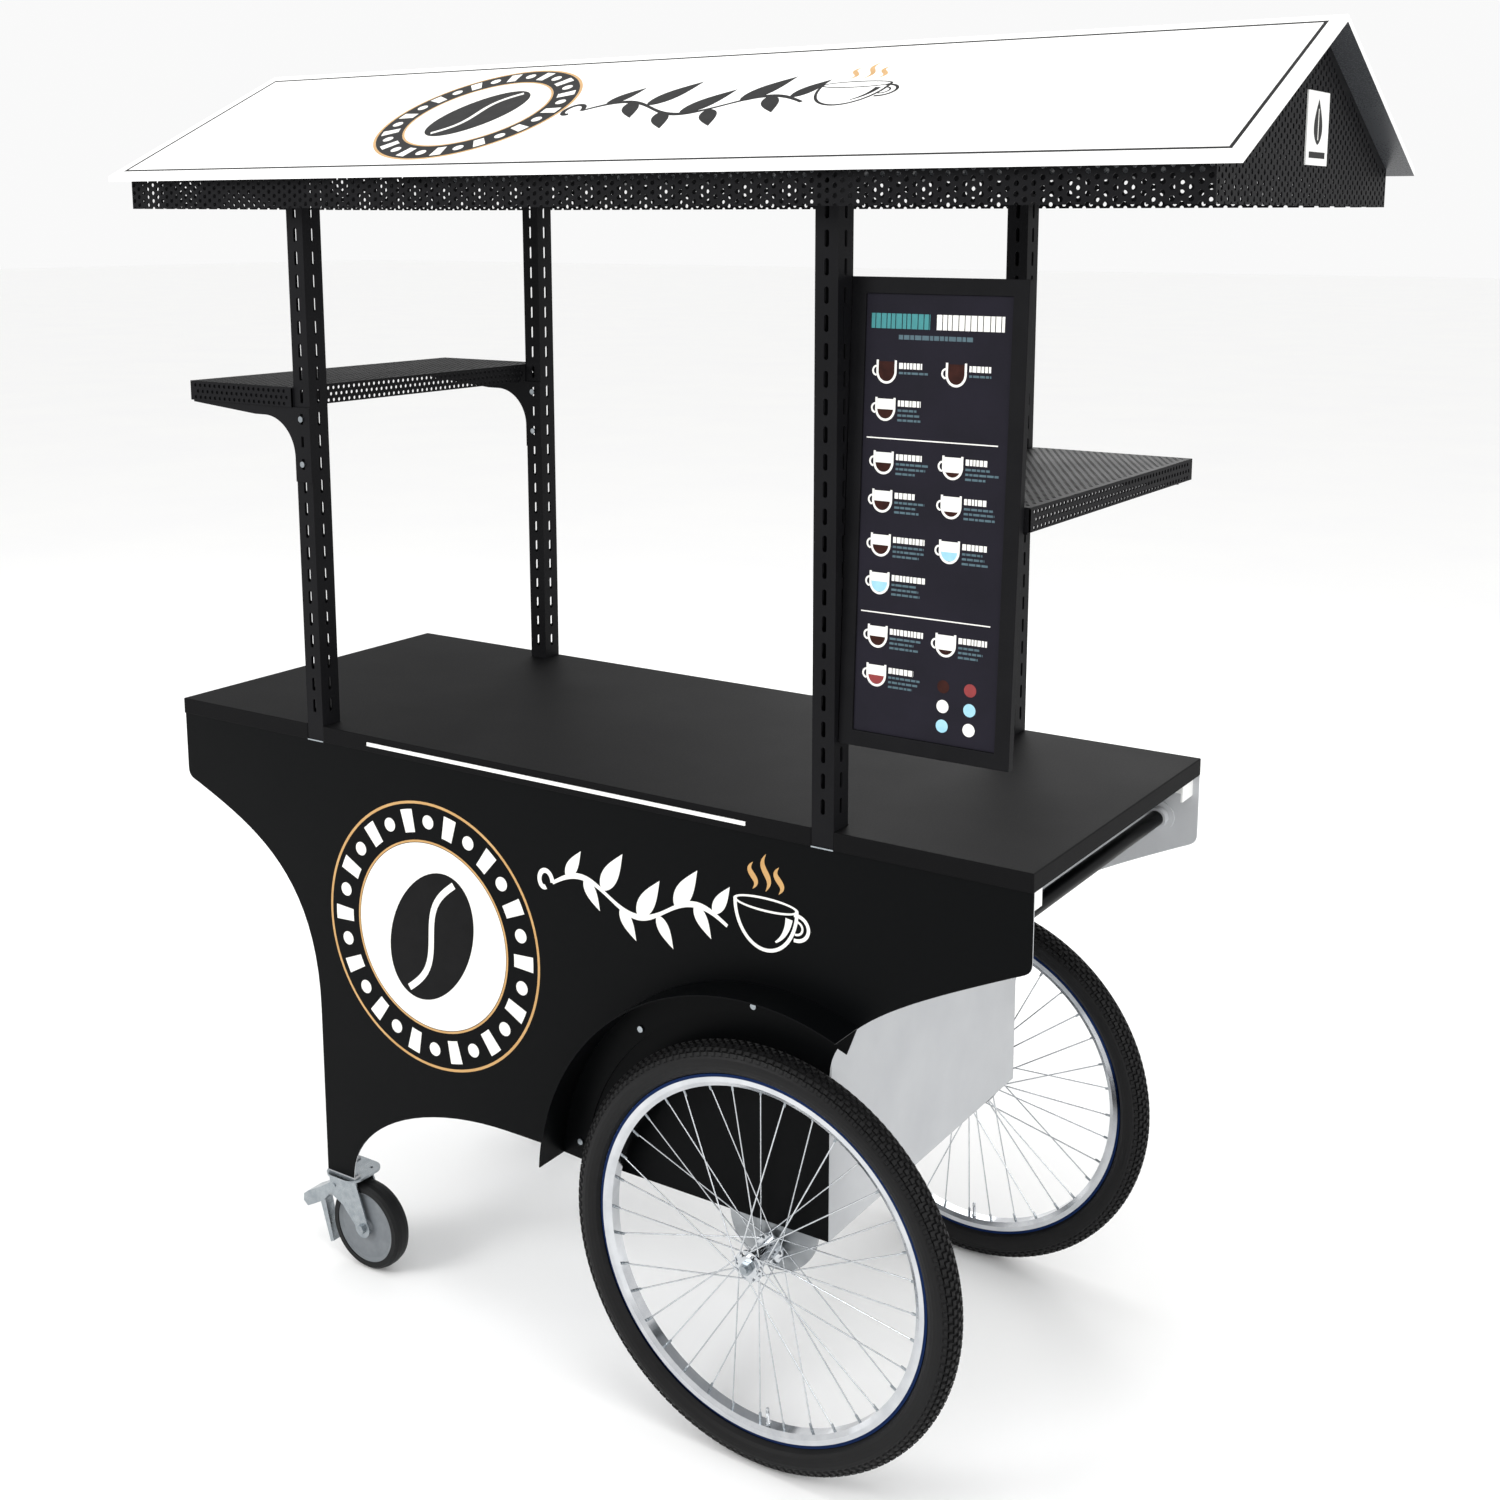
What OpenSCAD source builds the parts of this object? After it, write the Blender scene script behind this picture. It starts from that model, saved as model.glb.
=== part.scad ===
// Push vending cart for drinks and sweets: a sheet-metal body on two bicycle
// wheels and two braked casters, four slotted posts, two side trays, a menu
// board and a pitched canopy. X runs along the cart towards the push handle,
// Y runs from the customer side to the vendor side, Z is up from the floor.

/* [Body] */
// length of the worktop and of the shaped side panels
body_length = 1660; // [1500:10:1800]
// how far the body sits back from the middle of the canopy
body_shift = -110; // [-160:5:-60]
// width over the two worktop edges
body_width = 634; // [580:2:700]
// height of the worktop surface above the floor
worktop_height = 998; // [940:2:1040]
// thickness of the worktop edge band
worktop_thick = 28; // [20:1:40]
// height of the flat bottom edge of the body
belly_height = 370; // [340:5:400]
// distance from the left end of the body to the leg
leg_inset = 315; // [260:5:360]
// width of each leg sheet
leg_width = 64; // [50:1:90]
// distance from the right end of the body to the end panel
handle_recess = 310; // [260:5:360]
// thickness of the painted sheet
sheet = 2; // [1.5:0.5:3]

/* [Wheels] */
// outer radius of the bicycle tyre
tyre_radius = 332.5; // [310:0.5:345]
// half of the bicycle tyre's section
tyre_half = 26.5; // [20:0.5:30]
// position of the wheel axle along the cart
wheel_x = 313; // [280:1:340]
// distance of each wheel's mid plane outside its side panel
wheel_gap = 36; // [34:1:42]
// spokes in each wheel
spoke_count = 36; // [28, 32, 36]
// gap between the tyre and the sheet fenders
fender_clear = 63.5; // [40:0.5:75]

/* [Casters] */
// radius of the caster wheel
caster_radius = 80; // [60:1:82]
// distance from the swivel axis back to the caster axle
caster_trail = 39; // [30:1:45]
// side of the square caster plate
caster_plate = 80; // [70:1:90]

/* [Posts and trays] */
// distance between the left and right posts
post_spacing = 1004; // [900:2:1100]
// post size along the cart
post_w = 36; // [30:1:45]
// post size across the cart
post_d = 40; // [30:1:45]
// spacing of the adjusting slots
slot_pitch = 37.5; // [30:0.5:50]
// length of each slot
slot_length = 23; // [12:1:28]
// how far the left tray reaches out from its posts
left_tray_reach = 247; // [200:2:320]
// how far the right tray reaches out from its posts
right_tray_reach = 269; // [200:2:320]
// height of the left tray's top above the worktop
left_tray_height = 573; // [400:5:640]
// height of the right tray's top above the worktop
right_tray_height = 478; // [380:5:600]
// height of the tray rims
tray_rim = 33; // [25:1:45]

/* [Canopy] */
// length of the two roof panels
roof_length = 1956; // [1860:2:2060]
// how far each eave reaches out past the worktop edge
eave_overhang = 65.5; // [55:0.5:75]
// height of the eaves above the worktop
eave_lift = 917; // [882:1:942]
// height of the ridge above the eaves
roof_rise = 186; // [150:1:220]
// how far the pierced gables sit in from the ends of the roof
gable_inset = 36; // [28:1:78]
// how far the pierced bands sit in from the eaves
canopy_inset = 18; // [12:1:30]
// height of the perforated eave bands
band_height = 50; // [40:1:70]

/* [Menu board] */
// width of the framed menu board
board_width = 260; // [200:1:280]
// height of the framed menu board
board_height = 643; // [500:1:660]
// height of the board's lower edge above the worktop
board_lift = 128; // [100:1:200]
// backward lean of the board
board_lean = 2.5; // [0:0.5:3]

/* [Vendor side] */
// width of the door opening in the rear panel
door_span = 460; // [400:2:480]
// height of the door opening in the rear panel
door_height = 520; // [420:2:530]

/* [Hidden] */
$fn = 48;
body_x0 = body_shift - body_length / 2;
body_x1 = body_shift + body_length / 2;
panel_y = body_width / 2 - 3;
panel_top = worktop_height - worktop_thick;
leg_x0 = body_x0 + leg_inset;
leg_x1 = leg_x0 + leg_width;
end_x = body_x1 - handle_recess;
leg_bottom = 2 * caster_radius + 18;
corner_z = panel_top - 125;
hub_z = tyre_radius;
wheel_y = panel_y + wheel_gap;
fender_radius = tyre_radius + fender_clear;
post_x = body_shift + 4;
post_left = post_x - post_spacing / 2;
post_right = post_x + post_spacing / 2;
post_y = body_width / 2 - 1 - post_d / 2;
post_bottom = panel_top + 2;
near_face = post_y + post_d / 2;
far_face = post_y - post_d / 2;
roof_slab = 8;
roof_width = body_width + 2 * eave_overhang;
canopy_length = roof_length - 2 * gable_inset;
canopy_width = roof_width - 2 * canopy_inset;
roof_angle = atan(roof_rise / (roof_width / 2));
eave_height = worktop_height + eave_lift;
ridge_z = eave_height + roof_rise;
band_bottom = eave_height - 4 - band_height;
post_top = ridge_z - (post_y + post_d / 2) * tan(roof_angle) - roof_slab / cos(roof_angle) - 4;
caster_x = (leg_x0 + leg_x1) / 2;
caster_y = panel_y - 30;
caster_top = leg_bottom - 4;
crown_z = 2 * caster_radius + 3;
brake_size = (caster_radius + 12) / 92;
brake_x = caster_trail - 67 * brake_size;
brake_z = caster_radius + 63 * brake_size;
door_x0 = leg_x0 + 26;
door_x1 = door_x0 + door_span;
door_z0 = belly_height + 42;
door_gap = 1.5;
hinge_y = panel_y + 5;
hub_half = 33;
axle_d = 12;
frame_tube = 25;
board_x0 = post_right + post_w / 2 + 1.2;
board_y = -(post_y + 5);
handle_x = body_x1 - 63;
handle_z = worktop_height - 105;
handle_d = 25;
left_tray_top = worktop_height + left_tray_height;
right_tray_top = worktop_height + right_tray_height;
slot_w = 7;
first_slot = worktop_height + 22;
gusset_arc = 68;
gusset_drop = 157;
panel_steps = 20;

// ---- small helpers ----

function bez(a, b, c, d, t) =
    a * (1 - t) ^ 3 + 3 * b * (1 - t) ^ 2 * t + 3 * c * (1 - t) * t ^ 2 + d * t ^ 3;

function bez_points(a, b, c, d, n) = [for (i = [0:n]) bez(a, b, c, d, i / n)];

// a box given by its two opposite corners
module span(a, b) {
    translate(a)
        cube(b - a);
}

// a flat outline drawn in X-Z and thickened from y0 to y1
module xz_sheet(y0, y1) {
    translate([0, y1, 0])
        rotate([90, 0, 0])
            linear_extrude(y1 - y0)
                children();
}

// a flat outline drawn in Y-Z and thickened from x0 to x1
module yz_sheet(x0, x1) {
    translate([x0, 0, 0])
        rotate([90, 0, 90])
            linear_extrude(x1 - x0)
                children();
}

// a round bar along Y from y0 to y1
module y_bar(x, z, d, y0, y1) {
    translate([x, y1, z])
        rotate([90, 0, 0])
            cylinder(d = d, h = y1 - y0);
}

// a straight round bar between two points
module rod(p, q, d) {
    v = q - p;
    length = norm(v);
    translate(p)
        rotate([0, acos(v.z / length), atan2(v.y, v.x)])
            cylinder(d = d, h = length, $fn = 16);
}

// the same thing on the customer side and on the vendor side
module both_sides() {
    for (s = [-1, 1])
        scale([1, s, 1])
            children();
}

// square with rounded corners made of arcs
module round_square(side, r) {
    square([side, side - 2 * r], center = true);
    square([side - 2 * r, side], center = true);
    for (sx = [-1, 1], sy = [-1, 1])
        translate([sx * (side / 2 - r), sy * (side / 2 - r)])
            circle(r = r);
}

// places its children at the fender bolts of the customer side
module at_fender_bolts() {
    for (a = [95, 131, 171.5])
        translate([wheel_x + (fender_radius - 32) * cos(a), -panel_y - sheet,
            hub_z + 12 + (fender_radius - 32) * sin(a)])
            children();
}

// clearance holes for the fender bolts
module fender_holes() {
    at_fender_bolts()
        y_bar(0, 0, 5.6, -1, 3 * sheet);
}

// places its children at the three caster bolts of the customer side
module at_plate_bolts() {
    for (offset = [[-24, -20], [24, -20], [-24, 20]])
        translate([caster_x + offset.x, offset.y - caster_y, 0])
            children();
}

// ---- body ----

// the shaped side: swept ends, a leg with an arch beside it, a straight belly
module side_outline() {
    left_tip = [body_x0 + 23, corner_z];
    right_tip = [body_x1 - 25, corner_z + 2];
    arch = [for (i = [0:panel_steps])
        let (t = 90 * i / panel_steps)
        [leg_x1 + (1 - cos(t)) * 361, leg_bottom + sin(t) * (belly_height - leg_bottom)]];
    left_round = bez_points([body_x0, corner_z + 26], [body_x0, corner_z + 8],
        [body_x0 + 6, corner_z + 6], left_tip, 6);
    left_sweep = bez_points(left_tip, left_tip + [152, -62],
        [leg_x0, corner_z - 123], [leg_x0, corner_z - 365], panel_steps);
    right_sweep = bez_points([end_x, corner_z - 213], [end_x, corner_z - 133],
        right_tip + [-165, -76], right_tip, panel_steps);
    right_round = bez_points(right_tip, [body_x1 - 6, corner_z + 10],
        [body_x1, corner_z + 12], [body_x1, corner_z + 28], 6);
    polygon(concat([[body_x0, panel_top]], left_round, left_sweep,
        [[leg_x0, leg_bottom]], arch, [[end_x, belly_height]], right_sweep, right_round,
        [[body_x1, panel_top]]));
}

module front_panel() {
    color("#1b1b1d")
        difference() {
            xz_sheet(-panel_y, sheet - panel_y)
                side_outline();
            fender_holes();
        }
}

module rear_panel() {
    color("#1b1b1d")
        difference() {
            xz_sheet(panel_y - sheet, panel_y)
                side_outline();
            span([door_x0, panel_y - sheet - 1, door_z0],
                [door_x1, panel_y + 1, door_z0 + door_height]);
            scale([1, -1, 1])
                fender_holes();
        }
}

module left_end_panel() {
    flange = 50;
    inner = panel_y - sheet;
    color("#d9dadb")
        yz_sheet(leg_x0, leg_x0 + sheet)
            difference() {
                translate([-inner, leg_bottom])
                    square([2 * inner, panel_top - leg_bottom]);
                translate([flange - inner, leg_bottom - 1])
                    square([2 * (inner - flange), belly_height - leg_bottom + 1]);
            }
    // folded feet that carry the caster plates
    color("#1b1b1d")
        both_sides()
            difference() {
                span([leg_x0, -inner, leg_bottom - 4],
                    [leg_x1, flange + 12 - inner, leg_bottom]);
                span([leg_x0 + 16, 14 - inner, leg_bottom - 5],
                    [leg_x1 + 1, flange + 13 - inner, leg_bottom + 1]);
                at_plate_bolts()
                    translate([0, 0, leg_bottom - 5])
                        cylinder(d = 6.2, h = 6);
            }
}

module right_end_panel() {
    color("#d9dadb")
        span([end_x - sheet, sheet - panel_y, belly_height], [end_x, panel_y - sheet, panel_top]);
}

module corner_stiffener() {
    color("#e3e4e5")
        span([end_x, sheet - panel_y, belly_height + 210],
            [end_x + 1.5, sheet - panel_y + 120, belly_height + 400]);
}

module floor_panel() {
    inner = panel_y - sheet - 5;
    color("#c9cacb")
        span([leg_x0 + sheet + frame_tube, -inner + frame_tube, belly_height + frame_tube],
            [end_x - sheet - frame_tube, inner - frame_tube, belly_height + frame_tube + sheet]);
}

// one rectangle of square tube at the height z
module tube_ring(z) {
    inner = panel_y - sheet - 5;
    difference() {
        span([leg_x0 + sheet, -inner, z], [end_x - sheet, inner, z + frame_tube]);
        span([leg_x0 + sheet + frame_tube, frame_tube - inner, z - 1],
            [end_x - sheet - frame_tube, inner - frame_tube, z + frame_tube + 1]);
    }
}

module body_frame() {
    inner = panel_y - sheet - 5;
    color("#8f9295") {
        tube_ring(belly_height);
        tube_ring(panel_top - frame_tube);
        // corner uprights
        for (x = [leg_x0 + sheet, end_x - sheet - frame_tube], y = [-inner, inner - frame_tube])
            span([x, y, belly_height + frame_tube],
                [x + frame_tube, y + frame_tube, panel_top - frame_tube]);
        // middle floor bearer
        span([(leg_x0 + end_x) / 2, frame_tube - inner, belly_height],
            [(leg_x0 + end_x) / 2 + frame_tube, inner - frame_tube, belly_height + frame_tube]);
        // pads that close the gap to the side sheets under each post
        for (x = [post_left, post_right])
            both_sides()
                span([max(x - post_w / 2, leg_x0 + sheet), sheet - panel_y,
                    panel_top - frame_tube],
                    [min(x + post_w / 2, end_x - sheet), -inner, panel_top]);
    }
}

module worktop() {
    color("#232325")
        difference() {
            span([body_x0, -body_width / 2, panel_top],
                [body_x1, body_width / 2, worktop_height]);
            for (x = [post_left, post_right], s = [-1, 1])
                translate([x, s * (post_y + 10), panel_top + worktop_thick / 2])
                    cube([post_w + 0.6, post_d + 20.4, worktop_thick + 2], center = true);
        }
}

module edge_light_strip() {
    strip_x0 = post_left + post_w / 2 + 104;
    color("#f4f4f2")
        span([strip_x0, -body_width / 2 - 2, panel_top + 11],
            [strip_x0 + 753, -body_width / 2, panel_top + 17]);
}

module post_feet() {
    color("#c8cbcd")
        for (x = [post_left, post_right])
            both_sides()
                span([x - post_w / 2 - 0.2, -post_y - post_d / 2 - 1.6, panel_top],
                    [x + post_w / 2 + 0.2, -post_y + post_d / 2, post_bottom]);
}

// ---- posts, trays and their gussets ----

// round-ended slot through both walls of a post, cut along Y
module slot_cut(depth) {
    translate([0, depth, slot_w / 2])
        rotate([90, 0, 0])
            linear_extrude(2 * depth) {
                circle(d = slot_w);
                translate([-slot_w / 2, 0])
                    square([slot_w, slot_length - slot_w]);
                translate([0, slot_length - slot_w])
                    circle(d = slot_w);
            }
}

// slotted rectangular tube standing at x, y
module slotted_post(x, y) {
    wall = 2.5;
    count = floor((post_top - 20 - slot_length - first_slot) / slot_pitch);
    difference() {
        translate([x - post_w / 2, y - post_d / 2, post_bottom])
            cube([post_w, post_d, post_top - post_bottom]);
        translate([x - post_w / 2 + wall, y - post_d / 2 + wall, post_bottom - 1])
            cube([post_w - 2 * wall, post_d - 2 * wall, post_top - post_bottom + 2]);
        for (i = [0:count])
            translate([x, y, first_slot + i * slot_pitch]) {
                slot_cut(post_d);
                rotate(90)
                    slot_cut(post_d);
            }
    }
}

module posts_front() {
    color("#2a2a2c")
        for (x = [post_left, post_right])
            slotted_post(x, -post_y);
}

module posts_rear() {
    color("#2a2a2c")
        for (x = [post_left, post_right])
            slotted_post(x, post_y);
}

// middle height of the post slot nearest to z
function slot_middle(z) = first_slot + slot_length / 2
    + slot_pitch * round((z - first_slot - slot_length / 2) / slot_pitch);

// open-bottomed tray: a deck with turned-down rims, side 1 = +X, -1 = -X, with
// a notch in the rim beside the posts for each gusset
module tray(x, side, reach, top, front, notches) {
    back = post_y + post_d / 2 + 2 * sheet + 0.3;
    x0 = side > 0 ? x : x - reach;
    rim_x = side > 0 ? x0 : x0 + reach - sheet;
    difference() {
        span([x0, front, top - tray_rim], [x0 + reach, back, top]);
        span([x0 + sheet, front + sheet, top - tray_rim - 1],
            [x0 + reach - sheet, back - sheet, top - sheet]);
        for (y = notches)
            span([rim_x - 1, y - 0.3, top - tray_rim - 1],
                [rim_x + sheet + 1, y + sheet + 0.3, top - sheet]);
    }
}

module tray_left() {
    color("#242426")
        tray(post_left - post_w / 2 - 0.3, -1, left_tray_reach, left_tray_top,
            -near_face - 2 * sheet - 0.3, [-near_face - sheet, far_face - sheet]);
}

module tray_right() {
    color("#242426")
        tray(post_right + post_w / 2 + 0.3, 1, right_tray_reach, right_tray_top,
            -far_face - sheet - 0.2, [-far_face, far_face - sheet]);
}

// curved bracket outline: +X is the reach, 0,0 is the post face at the tray top
module gusset_outline(reach, top) {
    lip = tray_rim + 3;
    knee = tray_rim + 16;
    bolt = slot_middle(top - 56) - top;
    difference() {
        polygon([[-post_w, -tray_rim], [0, -tray_rim], [0, -sheet], [reach - 4, -sheet],
            [reach - 4, -lip], [gusset_arc + 24, -knee], [gusset_arc, -knee],
            [0, -knee - gusset_arc], [0, -gusset_drop], [-post_w, -gusset_drop]]);
        translate([gusset_arc, -knee - gusset_arc])
            circle(r = gusset_arc, $fn = 96);
        for (i = [0:2])
            translate([-post_w / 2 - 3, bolt - 9 - i * slot_pitch])
                square([6, 18]);
    }
}

// a gusset standing on the vendor side of the plane y
module gusset(x, y, side, reach, top) {
    translate([x, y, top])
        scale([side, 1, 1])
            xz_sheet(0, sheet)
                gusset_outline(reach, top);
}

module gussets_left() {
    color("#2a2a2c")
        for (y = [-near_face - sheet, far_face - sheet])
            gusset(post_left - post_w / 2, y, -1, left_tray_reach, left_tray_top);
}

module gussets_right() {
    color("#2a2a2c")
        for (y = [-far_face, far_face - sheet])
            gusset(post_right + post_w / 2, y, 1, right_tray_reach, right_tray_top);
}

// ---- fasteners ----

// button head screw seen from the customer side; its shank runs towards +Y
module screw(x, y, z, shank) {
    y_bar(x, z, 10, y - 3, y);
    y_bar(x, z, 5.5, y, y + shank);
}

module bolts() {
    color("#b9bcbf") {
        // gusset bolts, each passing through a slot of its post
        for (i = [0, 2]) {
            left_z = slot_middle(left_tray_top - 56) - i * slot_pitch;
            right_z = slot_middle(right_tray_top - 56) - i * slot_pitch;
            screw(post_left, -near_face - sheet, left_z, 8);
            screw(post_left, far_face - sheet, left_z, 8);
            screw(post_right, far_face - sheet, right_z, 8);
            scale([1, -1, 1])
                screw(post_right, far_face - sheet, right_z, 8);
        }
        both_sides()
            at_fender_bolts()
                screw(0, 0, 0, 6);
        // caster bolts, heads on top of the folded feet
        both_sides()
            at_plate_bolts()
                translate([0, 0, caster_top - 7]) {
                    cylinder(d = 6, h = 11);
                    translate([0, 0, 11])
                        cylinder(d = 11, h = 4);
                }
    }
}

// ---- canopy ----

// one roof slab in profile, side -1 = customer side
module roof_profile(side) {
    half = roof_width / 2;
    drop = roof_slab / cos(roof_angle);
    polygon([[side * 0.2, ridge_z], [side * half, eave_height],
        [side * half, eave_height - drop], [side * 0.2, ridge_z - drop]]);
}

module roof_panel_front() {
    color("#f5f5f3")
        yz_sheet(-roof_length / 2, roof_length / 2)
            roof_profile(-1);
}

module roof_panel_rear() {
    color("#f5f5f3")
        yz_sheet(-roof_length / 2, roof_length / 2)
            roof_profile(1);
}

// height of the roof's underside at the distance y from the ridge
function under_roof(y) = ridge_z - roof_slab / cos(roof_angle) - y * tan(roof_angle);

module roof_frame() {
    rail = 20;
    half_x = canopy_length / 2 - sheet;
    half_y = post_y - post_d / 2;
    rail_z = under_roof(half_y) - rail;
    color("#6f7275") {
        // two long rails on the inner faces of the posts
        both_sides()
            span([-half_x, -half_y, rail_z - 6], [half_x, rail - half_y, rail_z + rail - 6]);
        // cross rails beside the posts and at the gables
        for (x = [-half_x, post_left + post_w / 2, post_right - post_w / 2 - rail, half_x - rail])
            span([x, rail - half_y, rail_z - 6], [x + rail, half_y - rail, rail_z + rail - 6]);
        // king posts under the ridge
        for (x = [-half_x, half_x - rail])
            span([x, -rail / 2, rail_z + rail - 6],
                [x + rail, rail / 2, under_roof(rail / 2) - 0.2]);
    }
}

module canopy_band_front() {
    color("#1f1f21")
        span([-canopy_length / 2, -canopy_width / 2, band_bottom],
            [canopy_length / 2, sheet - canopy_width / 2, under_roof(canopy_width / 2)]);
}

module canopy_band_rear() {
    color("#1f1f21")
        span([-canopy_length / 2, canopy_width / 2 - sheet, band_bottom],
            [canopy_length / 2, canopy_width / 2, under_roof(canopy_width / 2)]);
}

module gable_outline() {
    half = canopy_width / 2 - sheet;
    polygon([[-half, band_bottom], [half, band_bottom], [half, under_roof(half)],
        [0, under_roof(0)], [-half, under_roof(half)]]);
}

module gable_left() {
    color("#1f1f21")
        yz_sheet(-canopy_length / 2, sheet - canopy_length / 2)
            gable_outline();
}

module gable_right() {
    color("#1f1f21")
        yz_sheet(canopy_length / 2 - sheet, canopy_length / 2)
            gable_outline();
}

module gable_plate() {
    color("#efefed")
        span([canopy_length / 2, -37, eave_height - 2],
            [canopy_length / 2 + 2, 56, eave_height + 92]);
}

// ---- menu board ----

// leans its children about the board's lower front edge
module on_board() {
    translate([board_x0, board_y, worktop_height + board_lift])
        rotate([-board_lean, 0, 0])
            children();
}

module menu_frame() {
    stile = 22;
    depth = 14;
    color("#1d1d1f")
        on_board()
            difference() {
                translate([0, -depth / 2, 0])
                    cube([board_width, depth, board_height]);
                translate([stile, -depth / 2 - 1, stile])
                    cube([board_width - 2 * stile, 7, board_height - 2 * stile]);
            }
}

module menu_panel() {
    stile = 22;
    color("#3a3942")
        on_board()
            translate([stile + 0.3, -4, stile + 0.3])
                cube([board_width - 2 * stile - 0.6, 3, board_height - 2 * stile - 0.6]);
}

module menu_brackets() {
    color("#2a2a2c")
        for (lift = [board_lift + 40, board_lift + board_height - 90])
            span([post_right + post_w / 2, -post_y - 6, worktop_height + lift],
                [board_x0, post_d / 2 - post_y, worktop_height + lift + 50]);
}

// ---- push handle ----

module push_handle() {
    inner = panel_y - sheet - 4;
    color("#19191b") {
        y_bar(handle_x, handle_z, handle_d, 15 - inner, inner - 15);
        // turned-down ends that sit in the two flanges
        y_bar(handle_x, handle_z, handle_d - 1, -inner, inner);
    }
}

module handle_flanges() {
    inner = panel_y - sheet;
    color("#d9dadb")
        both_sides() {
            y_bar(handle_x, handle_z, 50, -inner, 4 - inner);
            difference() {
                y_bar(handle_x, handle_z, handle_d + 7, 4 - inner, 18 - inner);
                y_bar(handle_x, handle_z, handle_d - 0.9, 3.9 - inner, 19 - inner);
            }
        }
}

module overhang_brackets() {
    inner = panel_y - sheet;
    color("#f0f0ee")
        both_sides()
            difference() {
                span([body_x1 - 40, -inner, panel_top - 34], [body_x1 - 10, 46 - inner, panel_top]);
                span([body_x1 - 41, 3 - inner, panel_top - 35],
                    [body_x1 - 13, 47 - inner, panel_top - 3]);
            }
}

// ---- bicycle wheels ----

// ring sector from angle a0 to a1, each span under 180 degrees
module sector_ring(r0, r1, a0, a1) {
    far = 2 * r1;
    mid = (a0 + a1) / 2;
    intersection() {
        difference() {
            circle(r = r1, $fn = 128);
            circle(r = r0, $fn = 128);
        }
        polygon([[0, 0], [far * cos(a0), far * sin(a0)], [far * cos(mid), far * sin(mid)],
            [far * cos(a1), far * sin(a1)]]);
    }
}

// sheet arch standing out from the side panel, with a flange bolted to it
module fender() {
    cz = hub_z + 12;
    a0 = 69;
    a1 = 180 - asin((belly_height - cz) / fender_radius);
    difference() {
        translate([wheel_x, 0, cz]) {
            xz_sheet(-panel_y - 63, -panel_y - sheet)
                sector_ring(fender_radius, fender_radius + sheet, a0, a1);
            xz_sheet(-panel_y - sheet, -panel_y)
                sector_ring(fender_radius - 46, fender_radius + sheet, a0, a1);
        }
        fender_holes();
    }
}

module fender_front() {
    color("#1b1b1d")
        fender();
}

module fender_rear() {
    color("#1b1b1d")
        scale([1, -1, 1])
            fender();
}

// round-ended hanger bolted behind the side panel
module axle_plates() {
    top = panel_y - sheet;
    color("#9b9ea1")
        both_sides()
            difference() {
                xz_sheet(-top, 5 - top) {
                    translate([wheel_x, hub_z + 40])
                        circle(r = 77, $fn = 96);
                    translate([wheel_x - 77, hub_z + 40])
                        square([154, 130]);
                }
                y_bar(wheel_x, hub_z, axle_d, -top - 1, 6 - top);
            }
}

module axles() {
    inner = panel_y - sheet - 5;
    outer = wheel_y + hub_half;
    color("#c8cbcd")
        both_sides() {
            y_bar(wheel_x, hub_z, axle_d, -outer - 11, 12 - inner);
            y_bar(wheel_x, hub_z, 20, -wheel_y + hub_half + 0.4, -inner - 5);
            translate([wheel_x, 8 - inner, hub_z])
                rotate([90, 0, 0])
                    cylinder(d = 21, h = 8, $fn = 6);
            translate([wheel_x, -outer - 0.4, hub_z])
                rotate([90, 0, 0])
                    cylinder(d = 20, h = 7, $fn = 6);
        }
}

flange_r = 24;
flange_gap = 56;

module hub(y) {
    color("#c9ccce")
        translate([wheel_x, y, hub_z])
            rotate([90, 0, 0])
                difference() {
                    union() {
                        cylinder(r = 14, h = 2 * hub_half, center = true);
                        for (s = [-1, 1])
                            translate([0, 0, s * flange_gap / 2])
                                cylinder(r = flange_r, h = 3.5, center = true);
                        for (s = [-1, 1])
                            translate([0, 0, s * (hub_half - 3)])
                                cylinder(r = 17, h = 6, center = true);
                    }
                    cylinder(d = axle_d + 0.1, h = 3 * hub_half, center = true);
                    for (i = [0:5])
                        rotate(60 * i)
                            translate([19, 0, 0])
                                cylinder(d = 6, h = 3 * hub_half, center = true, $fn = 24);
                }
}

// crossed wire spokes between the hub flanges and the rim well
module spokes(y) {
    rim_r = tyre_radius - 2 * tyre_half - 13.2;
    half = spoke_count / 2;
    step = 360 / half;
    color("#dfe1e3")
        translate([wheel_x, y, hub_z])
            for (i = [0:half - 1], s = [-1, 1]) {
                lean = (i % 2 == 0) ? 1 : -1;
                a = step * i + (s > 0 ? step / 2 : 0);
                b = a + lean * 56;
                rod([(flange_r - 3.2) * cos(b), s * (flange_gap / 2 + lean * 3.2),
                    (flange_r - 3.2) * sin(b)],
                    [rim_r * cos(a), s * 3, rim_r * sin(a)], 2.2);
            }
}

module rim(y) {
    seat = tyre_radius - 2 * tyre_half;
    color("#d4d7da")
        translate([wheel_x, y, hub_z])
            rotate([90, 0, 0])
                rotate_extrude($fn = 160)
                    polygon([[seat - 13, -9], [seat - 13, 9], [seat - 6, 13], [seat + 6.5, 13],
                        [seat + 6.5, 11], [seat - 3, 11], [seat - 3, -11], [seat + 6.5, -11],
                        [seat + 6.5, -13], [seat - 6, -13]]);
}

module tyre(y) {
    seat = tyre_radius - 2 * tyre_half;
    color("#202022")
        translate([wheel_x, y, hub_z])
            rotate([90, 0, 0])
                rotate_extrude($fn = 160)
                    difference() {
                        translate([tyre_radius - tyre_half, 0])
                            circle(r = tyre_half);
                        for (s = [-1, 1])
                            translate([seat - 10, s * 20.8 - 10])
                                square([16.8, 20]);
                        translate([seat - 20, -15])
                            square([20.5, 30]);
                    }
}

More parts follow.
